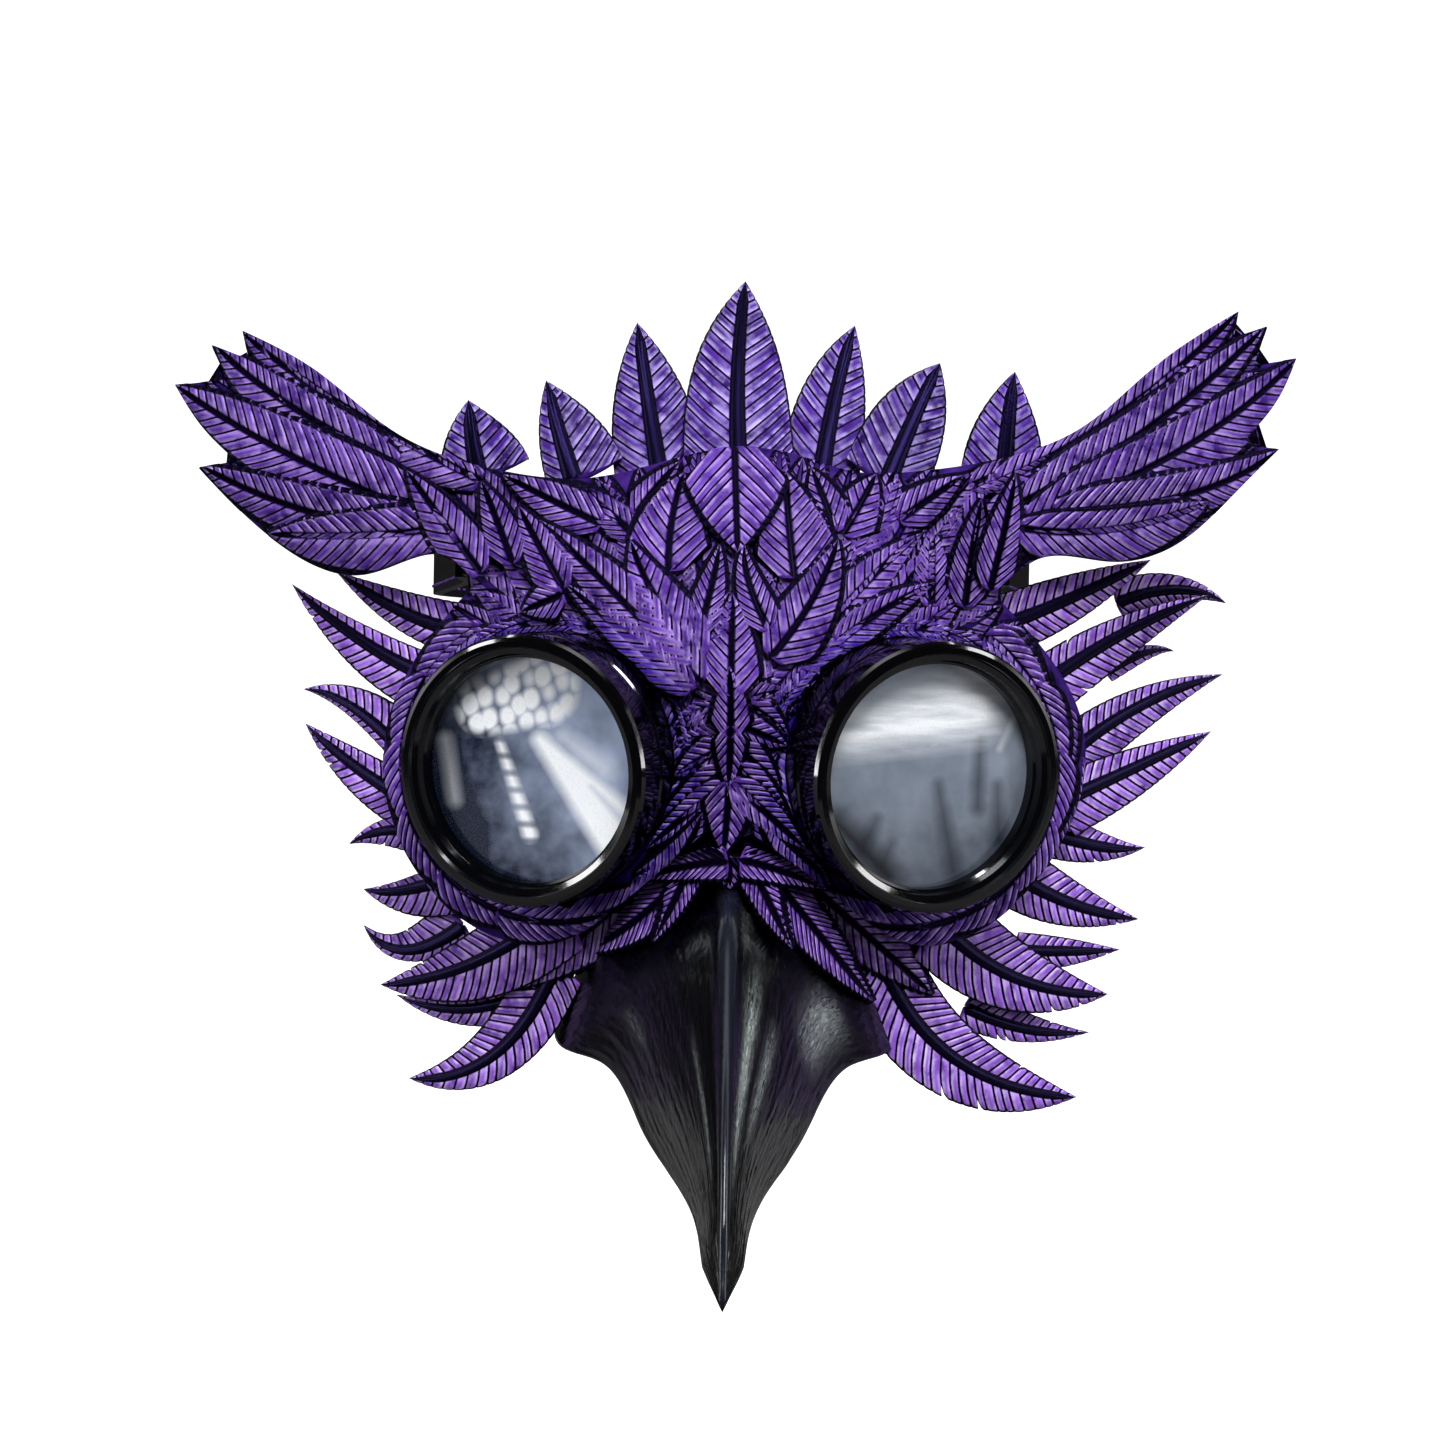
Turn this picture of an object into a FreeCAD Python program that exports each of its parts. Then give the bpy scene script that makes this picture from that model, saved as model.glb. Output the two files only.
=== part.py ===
"""Plague doctor half mask: tooled leather face, hollow beak, layered leather feathers,
screw-in goggles and a buckled head strap.

Millimetres. +Z is up, -Y is the way the wearer looks, +X is the wearer's left.
The origin is between the wearer's eyes, on the plane the face rests against.
"""
import FreeCAD, Part
import math
import os

V = FreeCAD.Vector
os.makedirs("parts", exist_ok=True)

# ---------------------------------------------------------------- driving dimensions
SHELL_T = 3.0            # carved face leather
FEATHER_T = 2.0          # side and crown feathers
CERE_T = 1.5             # small feathers at the root of the beak
GLUE = 0.1               # glue line between layers of one body

GRID_STEP = 6.0          # spacing of the points that define the face surface
GRID_X = 138.0
GRID_Z = (-90.0, 120.0)

BEAK_WALL = 2.5

GOGGLE_X = 39.0          # where the goggle axis meets the plane y = GOGGLE_Y
GOGGLE_Y = -11.2
GOGGLE_YAW = math.radians(24.0)
GOGGLE_PITCH = math.radians(6.0)
CUP_R = 29.0             # barrel of the eye cup
CUP_BACK = -11.0
CUP_SHOULDER = 9.5
CUP_FRONT = 14.5
NECK_R = 27.6
BORE_R = 24.2
SEAT_R = 26.5            # counterbore that takes gasket, lens and ring
SEAT_A = 6.0
GASKET_T = 1.0
LENS_T = 2.5
LENS_R = 26.4
LENS_GAP = 0.05
RING_TUBE_R = 26.43
RING_BORE_BACK = 24.6
RING_BORE_FRONT = 25.6
RING_A = 9.65
RING_FRONT = 16.0
RING_WEB = 1.2
SKIRT_IN = 27.7
SKIRT_OUT = 29.7
SKIRT_A = 9.8

STRAP_Z = 51.0           # height of the strap's centre line
STRAP_W = 18.0
STRAP_T = 2.4
STRAP_X = 61.9           # centre of the strap at the temples
STRAP_START = 16.5
TAB_IN = 58.0
TAB_END = 35.0
PIVOT_Y = 26.0
POST_R = 2.5
PIVOT_GAP = 0.06
HEAD_R = 5.0
HEAD_T = 1.2

BACK_Y = 175.05          # centre of the strap's inner layer behind the head
LAYER = STRAP_T + GLUE   # pitch of strap layers lying on each other
WIRE_R = 1.6
FRAME_Y = 178.0
HEEL_X = 4.0
TOE_X = -18.0
FRAME_HALF = 13.0
FOLD_END = 30.0
TONGUE_END = 40.0
PRONG_R = 1.1
PRONG_SLOT = 2.2
KEEPER_X = (22.0, 28.0)
KEEPER_T = 1.5


# ---------------------------------------------------------------- the face surface
def smooth(t):
    t = max(0.0, min(1.0, t))
    return t * t * (3.0 - 2.0 * t)


def face_y(x, z):
    """Depth of the mask's outer face: wrapped round the head, ridged at the nose."""
    above = max(0.0, z - 15.0)
    wrap = 0.72 - 0.27 * smooth(above / 55.0)
    lean = 0.0065 * above ** 2
    if above > 38.5:
        lean = 9.63 + 0.5 * (above - 38.5)
    lean *= math.exp(-(x / 60.0) ** 2)
    ridge = 4.0 + 0.2 * max(0.0, -z)
    if z > 20.0:
        ridge *= max(0.0, 1.0 - (z - 20.0) / 25.0)
    ridge *= math.exp(-(x / 15.0) ** 2)
    return -21.0 + lean + wrap * (math.hypot(45.0, x) - 45.0) - ridge


def make_face_surface():
    cols = int(round(2 * GRID_X / GRID_STEP)) + 1
    rows = int(round((GRID_Z[1] - GRID_Z[0]) / GRID_STEP)) + 1
    grid = []
    for i in range(cols):
        x = -GRID_X + i * GRID_STEP
        heights = [GRID_Z[0] + j * GRID_STEP for j in range(rows)]
        grid.append([V(x, face_y(x, z), z) for z in heights])
    surface = Part.BSplineSurface()
    surface.interpolate(grid)
    return surface.toShape()


FACE = make_face_surface()


def layer(front, thick):
    """The slab of space between the face surface moved back by front and front + thick."""
    sheet = FACE.copy()
    sheet.translate(V(0, front, 0))
    return sheet.extrude(V(0, thick, 0))


# ---------------------------------------------------------------- outlines
def curve(points):
    vectors = [V(x, 0, z) for x, z in points]
    if len(vectors) == 2:
        return Part.LineSegment(vectors[0], vectors[1]).toShape()
    spline = Part.BSplineCurve()
    spline.interpolate(vectors)
    return spline.toShape()


def prism(runs, y_low=-80.0, y_high=90.0):
    """Solid seen from the front as the closed outline of runs, cut through along Y."""
    wire = Part.Wire([curve(run) for run in runs])
    face = Part.Face(wire)
    face.translate(V(0, y_low, 0))
    return face.extrude(V(0, y_high - y_low, 0))


STATIONS = (0.0, 0.2, 0.4, 0.6, 0.8, 0.93)


def feather_runs(base, middle, tip, vanes, fullness):
    """Outline of one feather on a bent midrib through three points.

    vanes holds the greatest width left and right of the midrib, seen from base to tip.
    A low fullness tapers from the root; a high one keeps its width almost to the tip.
    """
    def rib(v):
        a = (1 - v) * (1 - 2 * v)
        b = 4 * v * (1 - v)
        c = v * (2 * v - 1)
        return [a * p + b * q + c * r for p, q, r in zip(base, middle, tip)]

    def slope(v):
        a = 4 * v - 3
        b = 4 - 8 * v
        c = 4 * v - 1
        return [a * p + b * q + c * r for p, q, r in zip(base, middle, tip)]

    sides = []
    for reach in (vanes[0], -vanes[1]):
        points = []
        for v in STATIONS:
            x, z = rib(v)
            dx, dz = slope(v)
            out = reach * (1 - v ** fullness) / math.hypot(dx, dz)
            points.append((x - out * dz, z + out * dx))
        sides.append(points + [tuple(tip)])
    left, right = sides
    return [right, list(reversed(left)), [left[0], right[0]]]


# ---------------------------------------------------------------- face leather
LEFT_RING = [(-4.3, -13.0), (-22.0, -29.0), (-38.0, -39.2), (-54.0, -37.6), (-68.0, -27.0),
             (-77.0, -10.0), (-77.0, 10.0), (-69.0, 26.0), (-57.0, 40.0)]
LEFT_TUFT = [[(-57.0, 40.0), (-64.0, 46.0), (-83.0, 42.0), (-102.0, 48.0), (-122.0, 66.0)],
             [(-122.0, 66.0), (-113.0, 67.5)],
             [(-113.0, 67.5), (-121.0, 75.0), (-128.0, 85.0)],
             [(-128.0, 85.0), (-115.5, 86.0)],
             [(-115.5, 86.0), (-119.5, 94.0)],
             [(-119.5, 94.0), (-110.5, 90.5)],
             [(-110.5, 90.5), (-112.0, 97.0)]]
TOP_EDGE = [(-112.0, 97.0), (-95.0, 88.0), (-75.0, 73.0), (-52.0, 65.0), (-32.0, 63.5),
            (-14.0, 68.0), (0.0, 71.0), (14.0, 69.5), (26.0, 66.0), (38.6, 66.0),
            (57.0, 69.0), (76.0, 76.0), (95.0, 92.0), (114.0, 105.0)]
RIGHT_TUFT = [[(114.0, 105.0), (113.0, 99.0)],
              [(113.0, 99.0), (121.0, 102.0)],
              [(121.0, 102.0), (118.0, 93.0)],
              [(118.0, 93.0), (128.0, 95.0)],
              [(128.0, 95.0), (124.0, 86.0), (115.5, 75.5)],
              [(115.5, 75.5), (124.0, 74.0)],
              [(124.0, 74.0), (114.0, 64.0), (101.0, 52.0), (86.0, 47.5), (70.0, 48.0),
               (58.0, 39.5)]]
RIGHT_RING = [(58.0, 39.5), (70.0, 27.5), (79.5, 12.0), (79.5, -6.0), (70.0, -23.5),
              (57.0, -35.0), (43.0, -38.6), (22.0, -26.5), (4.3, -13.5)]
NOSE_TIP = (-1.0, -18.5)


def shell_runs():
    nose_left = [NOSE_TIP, LEFT_RING[0]]
    nose_right = [RIGHT_RING[-1], NOSE_TIP]
    return [nose_left, LEFT_RING] + LEFT_TUFT + [TOP_EDGE] + RIGHT_TUFT + [RIGHT_RING, nose_right]


def goggle_axis(side):
    """Unit vector out of the goggle: side is -1 for the -X eye, 1 for the +X eye."""
    level = math.cos(GOGGLE_PITCH)
    return V(side * math.sin(GOGGLE_YAW) * level, -math.cos(GOGGLE_YAW) * level,
             -math.sin(GOGGLE_PITCH))


def goggle_point(side, along):
    return V(side * GOGGLE_X, GOGGLE_Y, 0) + goggle_axis(side) * along


def goggle_rod(side, radius, start, end):
    return Part.makeCylinder(radius, end - start, goggle_point(side, start), goggle_axis(side))


def drill_goggles(shape, radius):
    for side in (-1, 1):
        shape = shape.cut(goggle_rod(side, radius, -60.0, 60.0))
    return shape


def biggest(shape):
    return max(shape.Solids, key=lambda solid: solid.Volume)


SHELL_PRISM = prism(shell_runs())
SHELL = biggest(drill_goggles(SHELL_PRISM.common(layer(0.0, SHELL_T)), CUP_R + GLUE))


# ---------------------------------------------------------------- beak
# culmen y and z, half width, lower edge y and z, from the face to the tip
BEAK_SECTIONS = [(-24.5, -11.0, 36.0, 8.0, -52.0), (-27.0, -20.0, 38.0, 2.0, -58.0),
                 (-52.0, -27.0, 26.0, -30.0, -64.0), (-74.0, -40.0, 17.0, -55.0, -75.0),
                 (-92.0, -56.0, 10.5, -76.0, -82.0), (-108.0, -75.0, 5.0, -99.0, -90.0),
                 (-117.0, -90.0, 3.2, -113.0, -98.0), (-121.5, -98.5, 1.4, -120.0, -101.5)]
BEAK_FORM = ((0.05, 0.10), (0.16, 0.30), (0.34, 0.54), (0.56, 0.74), (0.80, 0.89), (1.0, 1.0))
KEEL_SHARE = 1.2         # growth at the keel for each mm of growth at the flanks
HOLLOW_SECTIONS = 6
HOLLOW_DROP = 12.0


def beak_wire(section, grow, drop=0.0):
    """One arched section, grown sideways by grow; drop adds straight legs below it."""
    top = V(0, section[0], section[1])
    low = V(0, section[3], section[4])
    down = (low - top).normalize()
    top = top - down * (grow * KEEL_SHARE)
    half = section[2] + grow
    right = [top + (low - top) * s + V(half * w, 0, 0) for s, w in BEAK_FORM]
    left = [V(-p.x, p.y, p.z) for p in reversed(right)]
    spline = Part.BSplineCurve()
    spline.interpolate(left + [top] + right)
    feet = [right[-1], left[0]]
    edges = [spline.toShape()]
    if drop > 0:
        feet = [foot + down * drop for foot in feet]
        edges.append(Part.makeLine(right[-1], feet[0]))
        edges.append(Part.makeLine(feet[0], feet[1]))
        edges.append(Part.makeLine(feet[1], left[0]))
    else:
        edges.append(Part.makeLine(feet[0], feet[1]))
    return Part.Wire(edges)


def beak_loft(grow, drop=0.0, sections=BEAK_SECTIONS):
    return Part.makeLoft([beak_wire(s, grow, drop) for s in sections], True, False)


def moved_back(section, distance):
    return (section[0] + distance, section[1] + 0.3 * distance, section[2],
            section[3] + distance, section[4] + 0.3 * distance)


def make_beak():
    hollow = [moved_back(BEAK_SECTIONS[0], 12.0)] + BEAK_SECTIONS[:HOLLOW_SECTIONS]
    body = beak_loft(0.0).cut(beak_loft(-BEAK_WALL, HOLLOW_DROP, hollow))
    behind_shell = SHELL_PRISM.common(layer(-GLUE - 30.0, SHELL_T + 30.0 + 2 * GLUE))
    return biggest(drill_goggles(body.cut(behind_shell), CUP_R + GLUE))


BEAK = make_beak()
BEAK_FILLED = beak_loft(GLUE, 6.0, [moved_back(BEAK_SECTIONS[0], 14.0)] + BEAK_SECTIONS)

# name: base, middle, tip, vanes, fullness, layer over the beak
CERE = {
    "cere_plume_left": ((-11.0, -24.5), (-20.0, -33.5), (-32.5, -42.0), (4.5, 4.5), 2.4, 0),
    "cere_plume_right": ((11.0, -25.0), (21.0, -37.0), (32.5, -51.0), (4.5, 5.0), 2.4, 0),
    "bridge_fringe": ((0.0, -19.0), (0.2, -22.0), (0.5, -25.0), (6.5, 6.5), 2.4, 0),
    "cere_tip_left": ((-8.0, -21.0), (-11.5, -28.5), (-15.5, -36.5), (3.5, 3.5), 2.0, 1),
    "cere_tip_right": ((5.5, -22.0), (9.5, -29.5), (13.5, -37.0), (3.5, 3.5), 2.0, 1),
    "cere_flap_left": ((0.0, -19.5), (-10.0, -21.5), (-20.5, -24.5), (3.2, 3.2), 2.4, 2),
    "cere_flap_right": ((2.5, -19.5), (11.5, -22.0), (21.0, -26.0), (3.2, 3.2), 2.4, 2),
}


def make_cere(base, middle, tip, vanes, fullness, level):
    """A small feather cut from a skin that follows the beak's own surface."""
    inner = GLUE + level * (CERE_T + GLUE)
    skin = beak_loft(inner + CERE_T).cut(beak_loft(inner))
    piece = skin.common(prism(feather_runs(base, middle, tip, vanes, fullness)))
    for drop in (0.0, 0.3):
        block = SHELL_PRISM.copy()
        block.translate(V(0, 0, -drop))
        piece = piece.cut(block)
    return biggest(piece)


# ---------------------------------------------------------------- side feathers
# name: base, middle, tip, vanes, fullness, layer behind the face leather
SIDE_FEATHERS = {
    "side_feather_left_01": ((-59.0, 29.0), (-74.0, 33.5), (-90.5, 43.0), (5.5, 6.5), 1.8, 1),
    "side_feather_left_02": ((-69.0, 19.5), (-85.5, 28.0), (-101.0, 40.0), (8.5, 5.0), 1.6, 0),
    "side_feather_left_03": ((-75.0, 2.5), (-87.0, 12.0), (-99.0, 16.0), (3.0, 7.5), 1.8, 1),
    "side_feather_left_04": ((-70.0, -10.0), (-84.0, -2.5), (-98.0, 8.0), (7.0, 5.5), 2.0, 0),
    "side_feather_left_05": ((-66.5, -16.5), (-78.0, -16.0), (-87.0, -19.5), (5.5, 4.0), 1.8, 1),
    "side_feather_left_06": ((-62.5, -25.5), (-72.5, -29.0), (-83.0, -29.5), (8.5, 3.5), 1.8, 0),
    "side_feather_left_07": ((-59.0, -36.5), (-73.0, -43.0), (-83.0, -38.0), (4.0, 7.0), 1.8, 1),
    "side_feather_left_08": ((-37.0, -31.0), (-56.0, -44.5), (-78.5, -51.0), (10.5, 7.5), 2.6, 0),
    "side_feather_left_09": ((-42.5, -50.0), (-58.5, -55.5), (-75.0, -53.5), (5.5, 4.0), 1.8, 2),
    "side_feather_left_10": ((-38.0, -44.5), (-51.5, -65.0), (-71.5, -72.0), (7.0, 7.5), 2.8, 1),
    "side_feather_right_01": ((56.0, 31.0), (74.0, 38.0), (95.5, 48.5), (7.0, 7.0), 2.2, 1),
    "side_feather_right_02": ((88.0, 38.5), (102.0, 42.0), (115.0, 39.5), (5.0, 4.0), 1.8, 2),
    "side_feather_right_03": ((68.5, 18.0), (88.5, 31.0), (110.0, 41.0), (6.0, 8.0), 1.8, 0),
    "side_feather_right_04": ((86.0, 23.0), (96.0, 27.5), (103.0, 28.0), (3.0, 3.0), 1.8, 2),
    "side_feather_right_05": ((72.0, -1.0), (91.5, 13.5), (115.5, 23.0), (6.0, 8.0), 2.0, 1),
    "side_feather_right_06": ((74.0, -7.5), (94.5, 1.5), (112.5, 9.5), (6.0, 8.5), 2.0, 0),
    "side_feather_right_07": ((69.5, -12.5), (84.0, -17.0), (96.5, -17.5), (5.5, 6.0), 1.8, 1),
    "side_feather_right_08": ((63.5, -22.5), (78.0, -30.0), (95.0, -34.0), (7.0, 7.5), 1.8, 0),
    "side_feather_right_09": ((65.0, -40.5), (78.0, -41.0), (90.5, -41.0), (4.0, 5.0), 1.8, 1),
    "side_feather_right_10": ((47.0, -33.5), (65.0, -46.5), (87.5, -51.0), (9.5, 9.5), 2.4, 0),
    "side_feather_right_11": ((53.5, -53.0), (68.0, -58.5), (83.5, -60.0), (5.0, 4.5), 1.8, 2),
    "side_feather_right_12": ((34.5, -42.0), (51.5, -64.5), (80.5, -74.5), (8.5, 10.0), 3.0, 1),
}

CROWN_FEATHERS = {
    "crown_feather_01": ((-57.0, 63.5), (-59.0, 73.5), (-60.0, 81.5), (8.7, 12.0), 2.0, 1),
    "crown_feather_02": ((-35.5, 62.5), (-39.5, 75.0), (-42.5, 86.0), (6.0, 12.0), 2.2, 0),
    "crown_feather_03": ((-16.0, 61.5), (-19.5, 81.5), (-22.5, 100.5), (10.0, 11.0), 2.5, 1),
    "crown_feather_04": ((1.5, 61.5), (0.5, 86.5), (2.0, 111.0), (12.5, 12.5), 3.0, 0),
    "crown_feather_05": ((19.0, 62.0), (22.5, 83.5), (27.0, 100.5), (9.5, 8.5), 3.0, 1),
    "crown_feather_06": ((34.0, 63.5), (40.0, 78.5), (46.0, 91.5), (10.4, 8.9), 3.0, 0),
    "crown_feather_07": ((60.5, 65.0), (61.5, 79.0), (63.0, 90.0), (9.8, 9.2), 2.0, 1),
}


def make_feather(base, middle, tip, vanes, fullness, level):
    front = SHELL_T + GLUE + level * (FEATHER_T + GLUE)
    outline = prism(feather_runs(base, middle, tip, vanes, fullness))
    return biggest(outline.common(layer(front, FEATHER_T)))


def make_side_feather(*spec):
    """Its root is trimmed round the eye cup and the beak that it is glued against."""
    return biggest(drill_goggles(make_feather(*spec), CUP_R + 1.0).cut(BEAK_FILLED))


# ---------------------------------------------------------------- goggles
def turned(side, profile):
    """Ring turned about the goggle axis from (radius, along) corners."""
    corners = [V(radius, 0, along) for radius, along in profile]
    face = Part.Face(Part.makePolygon(corners + [corners[0]]))
    solid = face.revolve(V(0, 0, 0), V(0, 0, 1), 360)
    turn = FreeCAD.Rotation(V(0, 0, 1), goggle_axis(side))
    solid.Placement = FreeCAD.Placement(goggle_point(side, 0.0), turn)
    return solid


def make_cup(side):
    step = (CUP_SHOULDER + SEAT_A) / 2
    return turned(side, [(BORE_R, CUP_BACK), (CUP_R - 0.6, CUP_BACK), (CUP_R, CUP_BACK + 0.6),
                         (CUP_R, step - 3.0), (CUP_R - 0.7, step - 2.3), (CUP_R, step - 1.6),
                         (CUP_R, CUP_SHOULDER - 0.5), (CUP_R - 0.5, CUP_SHOULDER),
                         (NECK_R, CUP_SHOULDER), (NECK_R, CUP_FRONT), (SEAT_R, CUP_FRONT),
                         (SEAT_R, SEAT_A), (BORE_R, SEAT_A)])


def make_gasket(side):
    top = SEAT_A + GASKET_T
    return turned(side, [(BORE_R + 0.2, SEAT_A + 0.02), (SEAT_R - 0.1, SEAT_A + 0.02),
                         (SEAT_R - 0.1, top), (BORE_R + 0.2, top)])


def make_lens(side):
    back = SEAT_A + GASKET_T + LENS_GAP
    return goggle_rod(side, LENS_R, back, back + LENS_T)


def make_ring(side):
    """Cap ring: a tube screwed into the seat, a stepped front and a skirt round the neck."""
    web = RING_FRONT - RING_WEB
    return turned(side, [(RING_BORE_BACK, RING_A), (RING_TUBE_R, RING_A), (RING_TUBE_R, web),
                         (SKIRT_IN, web), (SKIRT_IN, SKIRT_A), (SKIRT_OUT - 0.6, SKIRT_A),
                         (SKIRT_OUT, SKIRT_A + 0.6), (SKIRT_OUT, RING_FRONT - 1.2),
                         (SKIRT_OUT - 0.5, RING_FRONT - 0.35), (SKIRT_OUT - 1.3, RING_FRONT),
                         (RING_BORE_FRONT + 1.6, RING_FRONT),
                         (RING_BORE_FRONT + 1.2, RING_FRONT - 0.9),
                         (RING_BORE_FRONT, RING_FRONT - 1.3),
                         (RING_BORE_FRONT - 0.4, RING_FRONT - 3.2),
                         (RING_BORE_BACK, RING_FRONT - 3.6)])


# ---------------------------------------------------------------- head strap
def upright_bar(x, y, radius, low, high):
    return Part.makeCylinder(radius, high - low, V(x, y, low), V(0, 0, 1))


def strap_box(x_range, y_range, half_height):
    low = V(x_range[0], y_range[0], STRAP_Z - half_height)
    return Part.makeBox(x_range[1] - x_range[0], y_range[1] - y_range[0], 2 * half_height, low)


def ribbon(start, heading, moves):
    """Strap on edge along lines and arcs: a move is (length, 0) or (radius, left turn)."""
    spot = V(start[0], start[1], STRAP_Z - STRAP_W / 2)
    angle = math.radians(heading)
    blocks = []
    for size, turn in moves:
        ahead = V(math.cos(angle), math.sin(angle), 0)
        left = V(-ahead.y, ahead.x, 0) * (STRAP_T / 2)
        if turn == 0:
            goal = spot + ahead * size
            wire = Part.makePolygon([spot - left, goal - left, goal + left, spot + left,
                                     spot - left])
            spot = goal
        else:
            sweep = math.radians(turn)
            centre = spot + left * (size / (STRAP_T / 2) * math.copysign(1, turn))

            def around(point, share):
                turned_by = FreeCAD.Rotation(V(0, 0, 1), math.degrees(sweep * share))
                return centre + turned_by.multVec(point - centre)

            edges = []
            for edge in (spot - left, spot + left):
                arc = Part.Arc(edge, around(edge, 0.5), around(edge, 1.0))
                edges.append(arc.toShape())
            edges.append(Part.makeLine(spot - left, spot + left))
            edges.append(Part.makeLine(around(spot - left, 1.0), around(spot + left, 1.0)))
            wire = Part.Wire(Part.__sortEdges__(edges))
            spot = around(spot, 1.0)
            angle += sweep
        blocks.append(Part.Face(wire).extrude(V(0, 0, STRAP_W)))
    return blocks[0].multiFuse(blocks[1:]).removeSplitter()


FLARE = 10.0             # degrees that the strap opens behind the temples
FLARE_R = 60.0
CORNER_R = 44.0          # round the back corners of the head
STRAIGHT = 24.0          # straight run at the temple
STEP_R = 14.0            # bends where the strap rides over the buckle
EYE_R = 2.95             # centre of the strap round the heel bar


def side_moves(side):
    """From the temple to the back of the head, and the x where the back run starts."""
    flare = math.radians(FLARE)
    reach = (BACK_Y - STRAP_START - STRAIGHT - FLARE_R * math.sin(flare)
             - CORNER_R * (1 + math.sin(flare)))
    run = reach / math.cos(flare)
    x_end = (STRAP_X + FLARE_R * (1 - math.cos(flare)) + run * math.sin(flare)
             - CORNER_R * math.cos(flare))
    moves = [(STRAIGHT, 0), (FLARE_R, -side * FLARE), (run, 0), (CORNER_R, side * (90 + FLARE))]
    return moves, x_end


def step_angle(rise):
    return math.degrees(math.acos(1 - rise / (2 * STEP_R)))


def step_length(rise):
    return 2 * STEP_R * math.sin(math.radians(step_angle(rise)))


def pivot_hole(side):
    radius = POST_R + PIVOT_GAP
    return Part.makeCylinder(radius, 12.0, V(side * 54.0, PIVOT_Y, STRAP_Z), V(side, 0, 0))


def make_buckle_side():
    """+X half: runs to the heel bar, folds round it and is glued back on itself."""
    moves, x_end = side_moves(1)
    drop = FRAME_Y + EYE_R - BACK_Y - LAYER
    fall = step_angle(drop)
    flat = FOLD_END - HEEL_X - step_length(drop)
    moves += [(x_end - HEEL_X, 0), (EYE_R, -180), (STEP_R, -fall), (STEP_R, fall), (flat, 0)]
    strap = ribbon((STRAP_X, STRAP_START), 90.0, moves)
    slot = strap_box((HEEL_X - 6.0, HEEL_X + 5.0), (BACK_Y - 4.0, FRAME_Y + 6.0), PRONG_SLOT)
    return strap.cut(pivot_hole(1)).cut(slot)


def make_tongue_side():
    """-X half: goes under the toe bar, over the heel bar and along the other half."""
    moves, x_end = side_moves(-1)
    over = FRAME_Y + EYE_R + STRAP_T + 0.25
    rise = over - BACK_Y
    drop = over - (BACK_Y + 2 * LAYER + 0.05)
    crest = 2.0
    before = x_end + HEEL_X - step_length(rise)
    after = TONGUE_END - HEEL_X - crest - step_length(drop)
    moves += [(before, 0), (STEP_R, step_angle(rise)), (STEP_R, -step_angle(rise)), (crest, 0),
              (STEP_R, -step_angle(drop)), (STEP_R, step_angle(drop)), (after, 0)]
    strap = ribbon((-STRAP_X, STRAP_START), 90.0, moves)
    end_r = STRAP_W / 2
    rounded = Part.makeCylinder(end_r, 60.0, V(TONGUE_END - end_r, 150.0, STRAP_Z), V(0, 1, 0))
    corner = strap_box((TONGUE_END - end_r, TONGUE_END + 5.0), (150.0, 210.0), end_r + 5.0)
    slot = strap_box((HEEL_X - 14.0, HEEL_X - 2.0), (BACK_Y - 4.0, FRAME_Y + 8.0), PRONG_SLOT)
    return strap.cut(pivot_hole(-1)).cut(corner.cut(rounded)).cut(slot)


def make_tab(side):
    """Leather ear: its foot is glued behind the face, its arm carries the strap's pivot."""
    low = STRAP_Z - STRAP_W / 2
    foot_x = (40.0, TAB_IN + STRAP_T) if side > 0 else (-TAB_IN - STRAP_T, -40.0)
    foot = strap_box(foot_x, (-30.0, 60.0), STRAP_W / 2).common(layer(SHELL_T + GLUE, STRAP_T))
    root = face_y(TAB_IN, STRAP_Z) + SHELL_T + 1.0
    start = TAB_IN if side > 0 else -TAB_IN - STRAP_T
    end_r = STRAP_W / 2
    arm = Part.makeBox(STRAP_T, TAB_END - end_r - root, STRAP_W, V(start, root, low))
    cap = Part.makeCylinder(end_r, STRAP_T, V(start, TAB_END - end_r, STRAP_Z), V(1, 0, 0))
    hole = Part.makeCylinder(POST_R + GLUE, 12.0, V(side * 54.0, PIVOT_Y, STRAP_Z), V(side, 0, 0))
    arm = arm.fuse(cap).cut(SHELL_PRISM.common(layer(-20.0, SHELL_T + 20.0 + GLUE)))
    return biggest(foot.fuse(arm).cut(hole).removeSplitter())


def make_screw(side):
    """Two-part screw post: a post with a flat domed head at each end."""
    def disc(radius, start, thick):
        return Part.makeCylinder(radius, thick, V(side * start, PIVOT_Y, STRAP_Z), V(side, 0, 0))

    inner = TAB_IN - GLUE - HEAD_T
    outer = STRAP_X + STRAP_T / 2 + 0.3
    post = disc(POST_R, inner + HEAD_T / 2, outer - inner)
    heads = [disc(HEAD_R, inner, HEAD_T), disc(HEAD_R, outer, HEAD_T)]
    slot = Part.makeBox(0.8, 2 * HEAD_R, 1.2, V(side * (outer + HEAD_T) - 0.4,
                                                PIVOT_Y - HEAD_R, STRAP_Z - 0.6))
    return post.multiFuse(heads).cut(slot).removeSplitter()


def make_frame():
    """Rectangular wire frame with round corners: heel bar, toe bar and two side bars."""
    low = STRAP_Z - FRAME_HALF
    high = STRAP_Z + FRAME_HALF
    bars = [upright_bar(x, FRAME_Y, WIRE_R, low, high) for x in (HEEL_X, TOE_X)]
    for z in (low, high):
        bars.append(Part.makeCylinder(WIRE_R, HEEL_X - TOE_X, V(TOE_X, FRAME_Y, z), V(1, 0, 0)))
        bars += [Part.makeSphere(WIRE_R, V(x, FRAME_Y, z)) for x in (HEEL_X, TOE_X)]
    return bars[0].multiFuse(bars[1:]).removeSplitter()


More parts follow.
